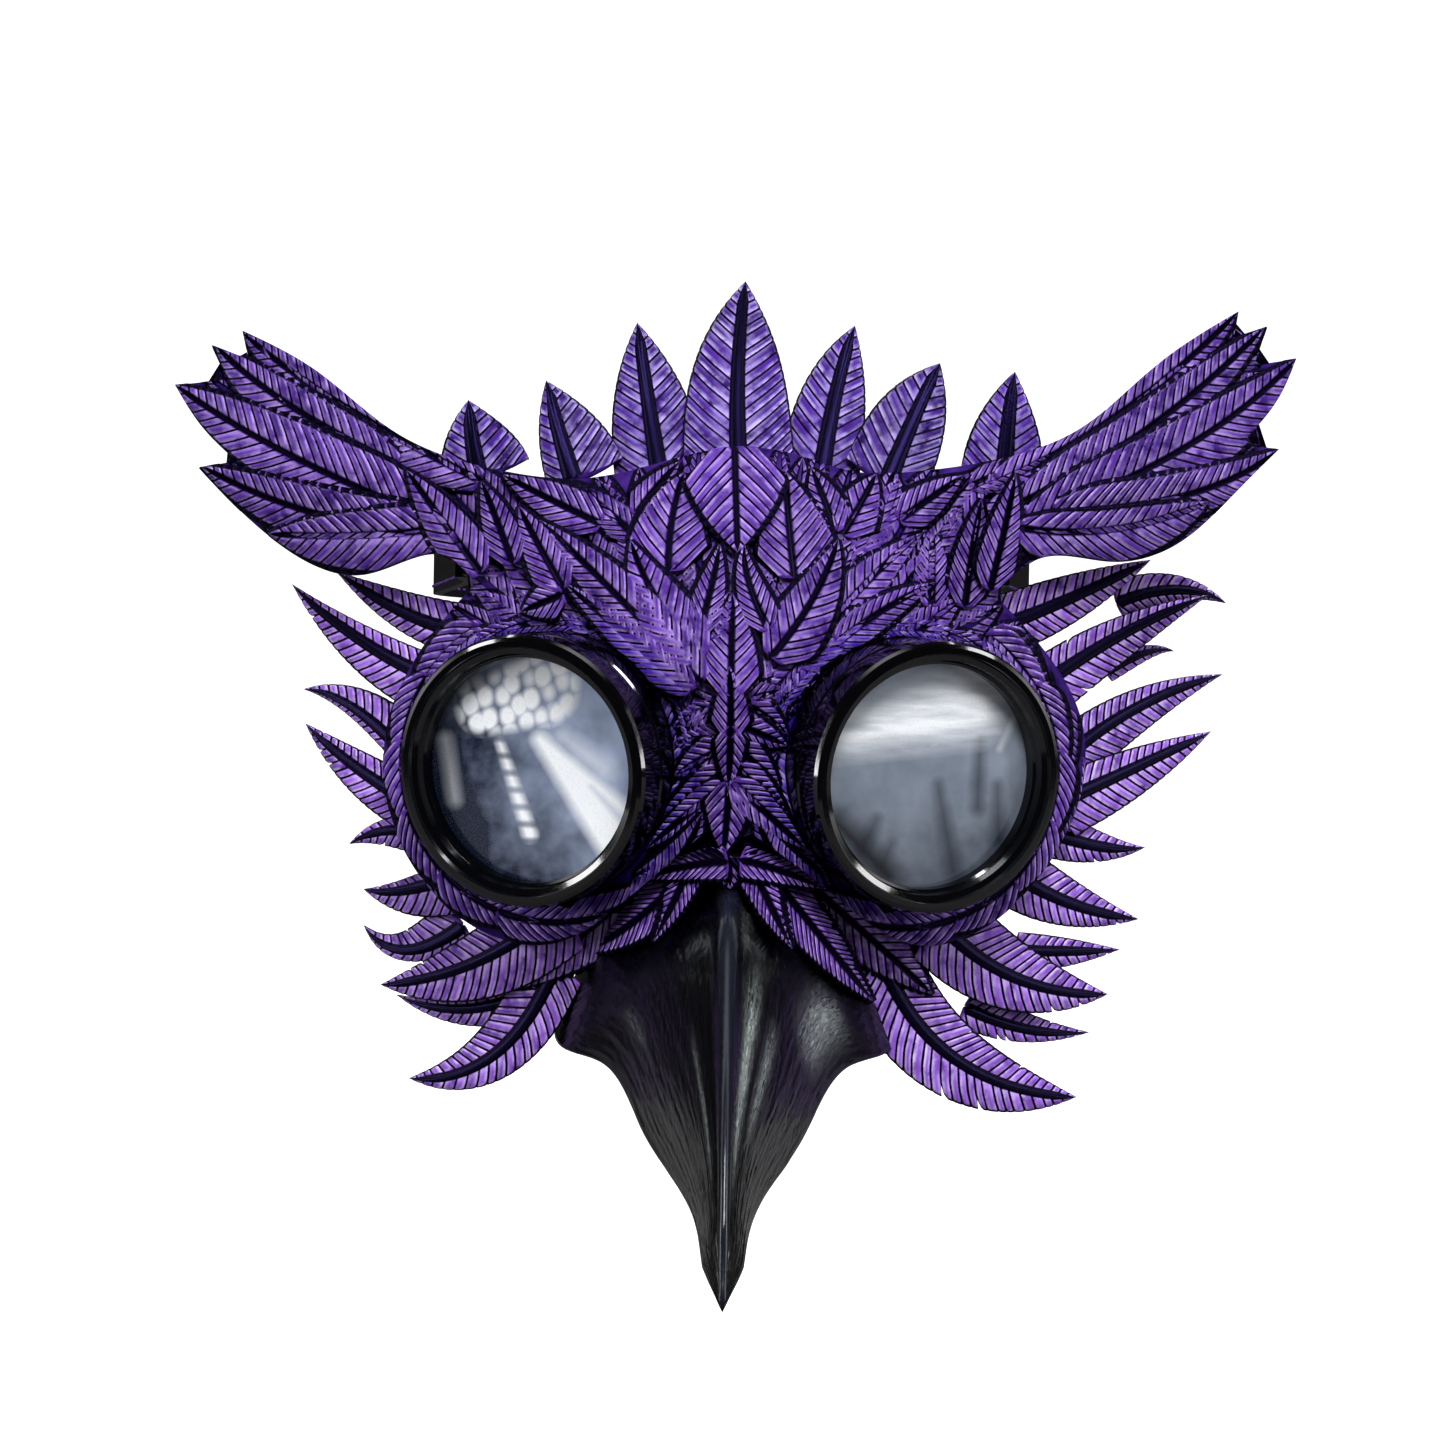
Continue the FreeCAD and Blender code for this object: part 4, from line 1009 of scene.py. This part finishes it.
# base, middle, tip, widths, fullness, layer behind the face leather
SIDE_FEATHERS = {
    "left": [((-59.0, 29.0), (-74.0, 33.5), (-90.5, 43.0), (5.5, 6.5), 1.8, 1),
             ((-69.0, 19.5), (-85.5, 28.0), (-101.0, 40.0), (8.5, 5.0), 1.6, 0),
             ((-75.0, 2.5), (-87.0, 12.0), (-99.0, 16.0), (3.0, 7.5), 1.8, 1),
             ((-70.0, -10.0), (-84.0, -2.5), (-98.0, 8.0), (7.0, 5.5), 2.0, 0),
             ((-66.5, -16.5), (-78.0, -16.0), (-87.0, -19.5), (5.5, 4.0), 1.8, 1),
             ((-62.5, -25.5), (-72.5, -29.0), (-83.0, -29.5), (8.5, 3.5), 1.8, 0),
             ((-59.0, -36.5), (-73.0, -43.0), (-83.0, -38.0), (4.0, 7.0), 1.8, 1),
             ((-37.0, -31.0), (-56.0, -44.5), (-78.5, -51.0), (10.5, 7.5), 2.6, 0),
             ((-42.5, -50.0), (-58.5, -55.5), (-75.0, -53.5), (5.5, 4.0), 1.8, 2),
             ((-38.0, -44.5), (-51.5, -65.0), (-71.5, -72.0), (7.0, 7.5), 2.8, 1)],
    "right": [((56.0, 31.0), (74.0, 38.0), (95.5, 48.5), (7.0, 7.0), 2.2, 1),
              ((88.0, 38.5), (102.0, 42.0), (115.0, 39.5), (5.0, 4.0), 1.8, 2),
              ((68.5, 18.0), (88.5, 31.0), (110.0, 41.0), (6.0, 8.0), 1.8, 0),
              ((86.0, 23.0), (96.0, 27.5), (103.0, 28.0), (3.0, 3.0), 1.8, 2),
              ((72.0, -1.0), (91.5, 13.5), (115.5, 23.0), (6.0, 8.0), 2.0, 1),
              ((74.0, -7.5), (94.5, 1.5), (112.5, 9.5), (6.0, 8.5), 2.0, 0),
              ((69.5, -12.5), (84.0, -17.0), (96.5, -17.5), (5.5, 6.0), 1.8, 1),
              ((63.5, -22.5), (78.0, -30.0), (95.0, -34.0), (7.0, 7.5), 1.8, 0),
              ((65.0, -40.5), (78.0, -41.0), (90.5, -41.0), (4.0, 5.0), 1.8, 1),
              ((47.0, -33.5), (65.0, -46.5), (87.5, -51.0), (9.5, 9.5), 2.4, 0),
              ((53.5, -53.0), (68.0, -58.5), (83.5, -60.0), (5.0, 4.5), 1.8, 2),
              ((34.5, -42.0), (51.5, -64.5), (80.5, -74.5), (8.5, 10.0), 3.0, 1)],
}
CROWN_FEATHERS = [
    ((-57.0, 63.5), (-59.0, 73.5), (-60.0, 81.5), (8.7, 12.0), 2.0, 1),
    ((-35.5, 62.5), (-39.5, 75.0), (-42.5, 86.0), (6.0, 12.0), 2.2, 0),
    ((-16.0, 61.5), (-19.5, 81.5), (-22.5, 100.5), (10.0, 11.0), 2.5, 1),
    ((1.5, 61.5), (0.5, 86.5), (2.0, 111.0), (12.5, 12.5), 3.0, 0),
    ((19.0, 62.0), (22.5, 83.5), (27.0, 100.5), (9.5, 8.5), 3.0, 1),
    ((34.0, 63.5), (40.0, 78.5), (46.0, 91.5), (10.4, 8.9), 3.0, 0),
    ((60.5, 65.0), (61.5, 79.0), (63.0, 90.0), (9.8, 9.2), 2.0, 1),
]


def loose_feather(name, spec, style, material, rng):
    base, middle, tip, vanes, fullness, level = spec
    pile = Pile()
    leaf(pile, bent_rib(base, middle, tip), vanes, fullness,
         on_face(LOOSE_FRONT + LAYER * level), style, rng)
    made = pile.build(name + "_leather", material)
    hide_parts(name)


def loose_feathers():
    rng = np.random.default_rng(23)
    for word, specs in SIDE_FEATHERS.items():
        for i, spec in enumerate(specs, 1):
            style = dict(LOOSE, wave=rng.uniform(0.2, 0.5), twist=rng.uniform(-0.5, 0.5))
            style["bar"] = 0.8 if max(spec[3]) < SMALL_VANE else 1.15
            loose_feather(f"side_feather_{word}_{i:02d}", spec, style, FEATHER_LEATHER,
                          rng)
    style = dict(LOOSE, spacing=3.0, slant=0.7, bar=1.6, bar_end=0.6, wave=0.4, split=0.0,
                 twist=0.6)
    for i, spec in enumerate(CROWN_FEATHERS, 1):
        loose_feather(f"crown_feather_{i:02d}", spec, style, CROWN_LEATHER, rng)


# ---------------------------------------------------------------- beak and cere
# culmen y and z, half width, y and z of the lower edge
BEAK_SECTIONS = [(-24.5, -11.0, 36.0, 8.0, -52.0), (-27.0, -20.0, 38.0, 2.0, -58.0),
                 (-52.0, -27.0, 26.0, -30.0, -64.0), (-74.0, -40.0, 17.0, -55.0, -75.0),
                 (-92.0, -56.0, 10.5, -76.0, -82.0), (-108.0, -75.0, 5.0, -99.0, -90.0),
                 (-117.0, -90.0, 3.2, -113.0, -98.0), (-121.5, -98.5, 1.4, -120.0, -101.5)]
# a section from keel to lower edge: share of the way down and share of the half width
BEAK_FORM = ((0.05, 0.10), (0.16, 0.30), (0.34, 0.54), (0.56, 0.74), (0.80, 0.89), (1.0, 1.0))
BEAK_ROOT = (-18.5, -2.5, 33.0, 14.0, -46.0)     # continues the beak behind the face leather
BEAK_ROWS, BEAK_COLS = 150, 190
BEAK_T = 2.5             # thickness of the beak's leather
SOLID_FROM = 0.70        # share of the rows past which the beak is solid
TIP_ROWS = 15            # rows over which the beak narrows to its point
# painted highlights on the beak: place across the keel, start and end along the beak, half width,
# strength
BEAK_SHEEN = [(0.10, 0.46, 0.80, 0.026, 1.6), (0.20, 0.50, 0.72, 0.024, 1.1),
              (-0.15, 0.56, 0.80, 0.010, 0.9), (0.36, 0.29, 0.44, 0.06, 1.4),
              (-0.36, 0.32, 0.44, 0.02, 0.3), (0.045, 0.28, 0.40, 0.018, 0.3)]


def spread(path, count):
    """Count points spread evenly along a closely sampled path."""
    pick = np.linspace(0, len(path) - 1, count)
    return np.stack([np.interp(pick, np.arange(len(path)), path[:, i]) for i in range(3)], -1)


def beak_grid(rows, cols, grow=0.0):
    """Outer surface of the beak as a grid, from the face to the tip and across the keel."""
    lines = []
    for culmen_y, culmen_z, half, low_y, low_z in [BEAK_ROOT] + BEAK_SECTIONS:
        top = np.array([0.0, culmen_y, culmen_z])
        low = np.array([0.0, low_y, low_z])
        down = (low - top) / np.linalg.norm(low - top)
        top = top - down * 1.2 * grow
        right = [top + (low - top) * s + np.array([(half + grow) * w, 0, 0])
                 for s, w in BEAK_FORM]
        left = [p * np.array([-1, 1, 1]) for p in reversed(right)]
        lines.append(spread(spline(left + [top] + right, 0.2), cols))
    lines = np.array(lines)
    return np.stack([spread(spline(lines[:, c], 0.3), rows) for c in range(cols)], axis=1)


def beak_material():
    """Black leather with a fine brushed nap that runs down the beak, and painted highlights:
    glints in the nap, sheen patches and a lighter keel.
    """
    made = Surface("beak_black_leather", Coat_Weight=0.3, Coat_Roughness=0.1,
                   Specular_IOR_Level=0.12)
    flow = made.node("ShaderNodeCombineXYZ")
    made.plug(made.attribute("tone"), flow.inputs[0])
    made.plug(made.attribute("along"), flow.inputs[1])
    nap = made.noise(made.stretch(flow.outputs[0], (260.0, 9.0, 1.0)), 1.0, 4.0, 0.65)
    fine = made.noise(made.stretch(flow.outputs[0], (700.0, 40.0, 1.0)), 1.0, 3.0, 0.6)
    spot = made.place()
    patch = made.noise(spot, 60.0, 3.0)
    colour = made.mix(made.ramp(nap, 0.45, 0.75), tint(1, 1, 3), tint(5, 8, 12))
    # painted glints in the nap, in patches
    glint = made.times(made.ramp(fine, 0.64, 0.8), made.ramp(patch, 0.5, 0.7))
    colour = made.mix(made.times(glint, 0.35), colour, tint(84, 96, 100))
    # painted highlights where the sheen patches lie
    sheen = made.times(made.attribute("sheen"), made.ramp(nap, 0.3, 0.66))
    sheen = made.times(sheen, made.ramp(fine, 0.35, 0.62, 0.15, 1.0))
    colour = made.mix(sheen, colour, tint(164, 172, 170))
    # the keel is painted a lighter blue-grey, a painted highlight
    colour = made.mix(made.attribute("bar"), colour, tint(32, 35, 48))
    made.coat(colour, made.ramp(nap, 0.3, 0.7, 0.14, 0.28))
    made.bump(made.plus(nap, made.times(fine, 0.5)), 0.3, 0.2)
    return made.material


def beak_cutter():
    """Everything in front of the shell's back, and the two goggle barrels."""
    loop = shell_outline(2.0)
    top, low, faces, walls = slab(loop, [], 3.0, lambda x, z: 0 * x - 90.0,
                                  lambda x, z: face_y(x, z) + LOOSE_FRONT)
    n = len(top)
    mesh = bpy.data.meshes.new("cutter")
    mesh.from_pydata((np.concatenate([top, low]) * MM).tolist(), [],
                     faces.tolist() + (faces[:, ::-1] + n).tolist() + walls.tolist())
    work = bmesh.new()
    work.from_mesh(mesh)
    bmesh.ops.recalc_face_normals(work, faces=work.faces)
    for side in (-1, 1):
        middle = goggle_point(side, 0.0) * MM
        turn = goggle_axis(side).to_track_quat("Z", "Y").to_matrix().to_4x4()
        bmesh.ops.create_cone(work, cap_ends=True, segments=96, radius1=BARREL_R * MM,
                              radius2=BARREL_R * MM, depth=120 * MM,
                              matrix=Matrix.Translation(middle) @ turn)
    work.to_mesh(mesh)
    work.free()
    return add_object("cutter", mesh)


def beak_surfaces():
    """Outer and inner surface of the beak, drawn in to a point at its tip."""
    outer = beak_grid(BEAK_ROWS, BEAK_COLS)
    inner = beak_grid(BEAK_ROWS, BEAK_COLS, -BEAK_T)
    solid = int(BEAK_ROWS * SOLID_FROM)
    inner[solid:] = outer[solid:].mean(axis=1)[:, None]
    point = outer[-1].mean(axis=0) + np.array([0, -0.8, -1.2])
    for i in range(1, TIP_ROWS):
        middle = outer[-i].mean(axis=0)
        outer[-i] = middle + (outer[-i] - middle) * (i / TIP_ROWS) ** 0.45
    outer[-1] = point
    outer[-2] = point + (outer[-3] - point) * 0.6
    inner[-1] = point + np.array([0, 1.0, 1.0])
    return outer, inner


def beak_blank(outer, inner):
    """Closed hollow beak, before it is cut back to the face leather and the barrels."""
    rows, cols = outer.shape[:2]
    n = rows * cols
    side = np.arange(rows) * cols
    loop = np.concatenate([np.arange(cols), side[1:] + cols - 1,
                           np.arange(n - cols, n - 1)[::-1], side[1:-1][::-1]])
    after = np.roll(loop, -1)
    walls = np.stack([loop, after, after + n, loop + n], -1)
    skin = grid_faces(rows, cols)
    mesh = bpy.data.meshes.new("beak_leather")
    points = np.concatenate([outer.reshape(-1, 3), inner.reshape(-1, 3)]) * MM
    mesh.from_pydata(points.tolist(), [],
                     skin.tolist() + (skin[:, ::-1] + n).tolist() + walls.tolist())
    work = bmesh.new()
    work.from_mesh(mesh)
    bmesh.ops.recalc_face_normals(work, faces=work.faces)
    work.to_mesh(mesh)
    work.free()
    return add_object("beak_leather", mesh)


def cut_beak(made):
    cutter = beak_cutter()
    cut = made.modifiers.new("cut", "BOOLEAN")
    cut.object = cutter
    cut.operation = "DIFFERENCE"
    cut.solver = "EXACT"
    cut.use_self = True
    ready = made.evaluated_get(bpy.context.evaluated_depsgraph_get())
    mesh = bpy.data.meshes.new_from_object(ready)
    made.modifiers.clear()
    made.data = mesh
    bpy.data.objects.remove(cutter)


def brush_beak(mesh, outer):
    """Keeps the largest piece and gives its skin a keel and a nap.

    Returns each vertex's place across and along the beak, and whether it is on the skin."""
    rows, cols = outer.shape[:2]
    surface = BVHTree.FromPolygons((outer.reshape(-1, 3) * MM).tolist(),
                                   grid_faces(rows, cols).tolist())
    work = bmesh.new()
    work.from_mesh(mesh)
    for piece in islands(work)[1:]:
        bmesh.ops.delete(work, geom=piece, context="VERTS")
    work.verts.ensure_lookup_table()
    normals = [v.normal.copy() for v in work.verts]
    marks = np.zeros((len(work.verts), 3))
    for i, v in enumerate(work.verts):
        _, _, face, far = surface.find_nearest(v.co)
        row, col = divmod(face, cols - 1)
        marks[i] = (col / (cols - 1) - 0.5, row / rows, 1.0 if far < 0.0001 else 0.0)
    for i, v in enumerate(work.verts):
        across, along, skin = marks[i]
        keel = math.exp(-(across / (0.018 + 0.05 * along)) ** 4)
        nap = noise.noise(Vector((across * 210, along * 9, 0.5)))
        nap += 0.6 * noise.noise(Vector((across * 430, along * 22, 3.5)))
        v.co += normals[i] * (0.11 * nap * (1 - 0.8 * keel) + 0.8 * keel) * skin * MM
    work.to_mesh(mesh)
    work.free()
    return marks


def make_beak():
    outer, inner = beak_surfaces()
    made = beak_blank(outer, inner)
    cut_beak(made)
    mesh = made.data
    marks = brush_beak(mesh, outer)
    sheen = np.zeros(len(marks))
    # each patch is a painted highlight on the skin of the beak
    for across, first, last, half, strength in BEAK_SHEEN:
        middle = (marks[:, 1] - first) / (last - first)
        patch = np.exp(-((marks[:, 0] - across) / half) ** 2) * np.exp(-(2 * middle - 1) ** 4)
        sheen = np.maximum(sheen, strength * patch * marks[:, 2])
    # where the keel is painted lighter, a painted highlight along it
    keel = 0.8 * np.exp(-(marks[:, 0] / 0.02) ** 2) * marks[:, 2]
    for key, column in (("tone", marks[:, 0]), ("along", marks[:, 1]), ("sheen", sheen),
                        ("bar", keel)):
        layer = mesh.attributes.new(key, "FLOAT", "POINT")
        layer.data.foreach_set("value", column.astype(np.float32))
    mesh.polygons.foreach_set("use_smooth", [True] * len(mesh.polygons))
    mesh.materials.clear()
    mesh.materials.append(beak_material())
    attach(made, "mask")
    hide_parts("beak")


def islands(work):
    """Connected groups of vertices, the largest first."""
    left, groups = set(work.verts), []
    while left:
        stack, group = [left.pop()], []
        while stack:
            v = stack.pop()
            group.append(v)
            for edge in v.link_edges:
                other = edge.other_vert(v)
                if other in left:
                    left.remove(other)
                    stack.append(other)
        groups.append(group)
    return sorted(groups, key=len, reverse=True)


# small feathers at the root of the beak: base, middle, tip, widths, fullness
CERE = {
    "cere_plume_left": ((-11.0, -24.5), (-20.0, -33.5), (-32.5, -42.0), (4.5, 4.5), 2.4),
    "cere_plume_right": ((11.0, -25.0), (21.0, -37.0), (32.5, -51.0), (4.5, 5.0), 2.4),
    "bridge_fringe": ((0.0, -19.0), (0.2, -22.0), (0.5, -25.0), (6.5, 6.5), 2.4),
    "cere_tip_left": ((-8.0, -21.0), (-11.5, -28.5), (-15.5, -36.5), (3.5, 3.5), 2.0),
    "cere_tip_right": ((5.5, -22.0), (9.5, -29.5), (13.5, -37.0), (3.5, 3.5), 2.0),
    "cere_flap_left": ((0.0, -19.5), (-10.0, -21.5), (-20.5, -24.5), (3.2, 3.2), 2.4),
    "cere_flap_right": ((2.5, -19.5), (11.5, -22.0), (21.0, -26.0), (3.2, 3.2), 2.4),
}
# feathers that close the gaps behind: base, middle, tip, widths, fullness, depth
BACKING = {
    "cere_backing_left": ((-12.0, -20.0), (-28.0, -34.0), (-46.0, -50.0), (9.5, 8.5), 2.6, 4.2),
    "cere_backing_right": ((12.0, -20.0), (28.0, -34.0), (46.0, -50.0), (9.5, 8.5), 2.6, 4.2),
    "ring_backing_right": ((33.0, -38.0), (43.0, -39.5), (54.0, -40.0), (4.5, 4.5), 3.0, 7.6),
}


def make_cere():
    rng = np.random.default_rng(37)

    def on_piece(name):
        """Places points on the smooth front of a CAD piece, a quadratic fitted to its mesh."""
        spots = np.array([tuple(v.co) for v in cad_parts[name].data.vertices]) / MM
        centre = spots.mean(axis=0)

        def terms(x, z):
            x, z = x - centre[0], z - centre[2]
            return np.stack([1 + 0 * x, x, z, x * x, x * z, z * z], -1)
        fit = np.linalg.lstsq(terms(spots[:, 0], spots[:, 2]), spots[:, 1], rcond=None)[0]

        def place(x, z, h):
            deep = np.clip(terms(x, z) @ fit, spots[:, 1].min(), spots[:, 1].max())
            return np.stack([x, deep - 0.9 - h, z], -1)
        return place

    for name, (base, middle, tip, vanes, fullness) in CERE.items():
        pile = Pile()
        style = dict(CARVED, spacing=1.7, slant=1.3, thick=1.4, notch=0.8, split=0.2, wave=0.4,
                     root=0.0, tone=0.55, rim_ink=0.5)
        leaf(pile, bent_rib(base, middle, tip), vanes, fullness, on_piece(name), style, rng)
        made = pile.build(name + "_leather", FACE_LEATHER)
        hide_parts(name)
    for name, (base, middle, tip, vanes, fullness, front) in BACKING.items():
        pile = Pile()
        style = dict(CARVED, thick=1.8, notch=0.5, split=0.1, wave=0.3, root=0.0, tone=0.25)
        leaf(pile, bent_rib(base, middle, tip), vanes, fullness, on_face(front), style, rng)
        made = pile.build(name, FEATHER_LEATHER)


# ---------------------------------------------------------------- studio
def seen(tree, straight, bounced):
    """A strength that is one value in plain view and another for bounced light."""
    path = tree.nodes.new("ShaderNodeLightPath")
    pick = tree.nodes.new("ShaderNodeMix")
    tree.links.new(path.outputs["Is Camera Ray"], pick.inputs[0])
    pick.inputs[2].default_value = bounced
    pick.inputs[3].default_value = straight
    return pick.outputs[0]


def make_floor():
    floor = bpy.data.meshes.new("floor")
    wide = 2.6
    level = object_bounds()[0][2] - 0.0015
    floor.from_pydata([(-wide, -0.3, level), (wide, -0.3, level), (wide, wide, level),
                       (-wide, wide, level)], [], [(0, 1, 2, 3)])
    paper = Surface("floor_paper", Roughness=0.9)
    paper.plug(paper.mix(paper.noise(paper.place(), 6.0), (0.20, 0.20, 0.21, 1.0),
                         (0.24, 0.24, 0.24, 1.0)), paper.shader.inputs["Base Color"])
    paper.shader.inputs["Emission Color"].default_value = (1.0, 1.0, 1.0, 1.0)
    paper.plug(seen(paper.tree, 0.94, 0.0), paper.shader.inputs["Emission Strength"])
    floor.materials.append(paper.material)
    add_object("floor", floor)


def lamp(name, spot, aim, size, power):
    data = bpy.data.lights.new(name, "AREA")
    data.shape = "RECTANGLE"
    data.size, data.size_y = size
    data.energy = power
    made = add_object(name, data)
    made.location = spot
    made.rotation_euler = (Vector(aim) - Vector(spot)).to_track_quat("-Z", "Y").to_euler()


def make_world():
    """White to the camera, a dim dome from behind to the leather, a bright hoop to gloss."""
    world = bpy.data.worlds.new("studio")
    world.use_nodes = True
    tree = world.node_tree
    sky = tree.nodes["Background"]
    sky.inputs["Color"].default_value = (1.0, 1.0, 1.0, 1.0)
    split = tree.nodes.new("ShaderNodeSeparateXYZ")
    tree.links.new(tree.nodes.new("ShaderNodeTexCoord").outputs["Generated"], split.inputs[0])

    def ramp(value, *numbers):
        made = tree.nodes.new("ShaderNodeMapRange")
        tree.links.new(value, made.inputs[0])
        for socket, number in zip(made.inputs[1:5], numbers):
            socket.default_value = number
        return made.outputs[0]

    behind = ramp(split.outputs["Y"], 0.25, 1.0, 0.045, 0.8)
    off = tree.nodes.new("ShaderNodeMath")
    off.operation = "ABSOLUTE"
    tree.links.new(split.outputs["Y"], off.inputs[0])
    hoop = ramp(off.outputs[0], 0.06, 0.2, 2.6, 0.045)
    path = tree.nodes.new("ShaderNodeLightPath")
    bounced = tree.nodes.new("ShaderNodeMix")
    tree.links.new(path.outputs["Is Glossy Ray"], bounced.inputs[0])
    tree.links.new(behind, bounced.inputs[2])
    tree.links.new(hoop, bounced.inputs[3])
    strength = seen(tree, 1.0, 0.0)
    tree.links.new(bounced.outputs[0], strength.node.inputs[2])
    tree.links.new(strength, sky.inputs["Strength"])
    bpy.context.scene.world = world


def make_camera():
    roll = math.radians(0.9)
    data = bpy.data.cameras.new("camera")
    data.lens = 86.7
    data.sensor_width = 36.0
    made = add_object("camera", data)
    right = Vector((math.cos(roll), 0, math.sin(roll)))
    up = Vector((-math.sin(roll), 0, math.cos(roll)))
    back = Vector((0, -1, 0))
    turn = Matrix((right, up, back)).transposed().to_4x4()
    made.matrix_world = Matrix.Translation((-0.0017, -0.776, 0.0098)) @ turn
    bpy.context.scene.camera = made


def studio():
    make_world()
    view = bpy.context.scene.view_settings
    view.view_transform = "Standard"
    view.gamma = 0.84
    view.exposure = 0.3
    lamp("key", (0.14, -0.70, 0.78), (0, 0, 0), (0.40, 0.34), 11.5)
    lamp("side_right", (0.90, -0.32, 0.30), (0, 0, 0), (0.16, 0.7), 4.5)
    lamp("side_left", (-0.90, -0.32, 0.25), (0, 0, 0), (0.16, 0.7), 5.5)
    lamp("rim", (0.0, 0.55, 0.75), (0, 0, 0.02), (0.9, 0.3), 6.0)
    make_camera()


# ---------------------------------------------------------------- strap and fittings
STITCH_PITCH, STITCH_LONG, STITCH_R = 3.0, 2.2, 0.36
STITCH_INSET = 2.0       # from the strap's edges
TAB_CLEAR = 38.0         # the strap has no stitches where it turns beside its tabs


def strap_rims(node):
    """Outlines of a strap piece seen from below, outer side and inner side."""
    work = bmesh.new()
    work.from_mesh(node.data)
    bmesh.ops.remove_doubles(work, verts=work.verts, dist=0.01 * MM)
    low = min(v.co.z for v in work.verts)
    high = max(v.co.z for v in work.verts)
    after = {}
    for edge in work.edges:
        flat = all(abs(v.co.z - low) < 0.02 * MM for v in edge.verts)
        tilts = sorted(abs(face.normal.z) for face in edge.link_faces)
        if flat and len(tilts) == 2 and tilts[0] < 0.3 and tilts[1] > 0.9:
            a, b = edge.verts
            after.setdefault(a.index, []).append(b.index)
            after.setdefault(b.index, []).append(a.index)
    work.verts.ensure_lookup_table()
    left, chains = set(after), []
    while left:
        ends = [i for i in left if len(after[i]) == 1]
        chain = [min(ends or left)]
        left.remove(chain[0])
        while True:
            ahead = [i for i in after[chain[-1]] if i in left]
            if not ahead:
                break
            chain.append(ahead[0])
            left.remove(ahead[0])
        if len(chain) > 3:
            closing = chain[:1] if chain[0] in after[chain[-1]] else []
            chains.append(np.array([tuple(work.verts[i].co)[:2] for i in chain + closing]) / MM)
    work.free()
    return chains, low / MM, high / MM


def stitch(pile, spot, way, out):
    """One saddle stitch: a short thread that dips into the leather at both ends."""
    t = np.linspace(0, 1, 7)
    turn = np.linspace(0, 2 * math.pi, 8)
    arch = np.sin(math.pi * t)
    line = spot + np.outer((t - 0.5) * STITCH_LONG, way) + np.outer(0.34 * arch - 0.28, out)
    thick = STITCH_R * np.sqrt(np.clip(arch, 0.0, 1.0))
    ring = np.outer(np.cos(turn), out) + np.outer(np.sin(turn), np.cross(way, out))
    points = line[:, None] + thick[:, None, None] * ring[None]
    pile.grid(points, values(points.shape[:2], tone=0.5))


def stitch_strap(name):
    """Two rows of stitches along both faces of a strap piece."""
    rims, low, high = strap_rims(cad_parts[name])
    corners = max(rims, key=len)
    area = np.sum(corners[:-1, 0] * corners[1:, 1] - corners[1:, 0] * corners[:-1, 1])
    pile = Pile()
    for rim in rims:
        steps = np.linalg.norm(np.diff(rim, axis=0), axis=1)
        place = np.concatenate([[0.0], np.cumsum(steps)])
        for s in np.arange(STITCH_PITCH, place[-1] - STITCH_PITCH, STITCH_PITCH):
            a, b = (np.array([np.interp(t, place, rim[:, k]) for k in range(2)])
                    for t in (s - 0.4, s + 0.4))
            way = (b - a) / np.linalg.norm(b - a)
            spot = (a + b) / 2
            if spot[1] < TAB_CLEAR:
                continue
            out = np.array([way[1], -way[0], 0.0]) * np.sign(area)
            for z in (low + STITCH_INSET, high - STITCH_INSET):
                stitch(pile, np.array([*spot, z]), np.array([*way, 0.0]), out)
    made = pile.build(name + "_stitches", THREAD, "strap")


def dress(names, material):
    for name in names:
        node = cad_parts[name]
        node.data.materials.clear()
        node.data.materials.append(material)


face_base()
carve_face()
loose_feathers()
make_beak()
make_cere()
for side, word in ((-1, "left"), (1, "right")):
    dress(["eye_cup_" + word, "retaining_ring_" + word], BLACK_PLASTIC)
    dress(["lens_" + word], lens_mirror("lens_mirror_" + word, side))
    dress(["lens_gasket_" + word], GASKET_RUBBER)
    dress(["strap_tab_" + word], STRAP_LEATHER)
    dress(["strap_screw_" + word], BUCKLE_STEEL)
dress(["strap_buckle_side", "strap_tongue_side", "strap_keeper"], STRAP_LEATHER)
dress(["buckle_frame", "buckle_prong"], BUCKLE_STEEL)
stitch_strap("strap_buckle_side")
stitch_strap("strap_tongue_side")
make_floor()
studio()
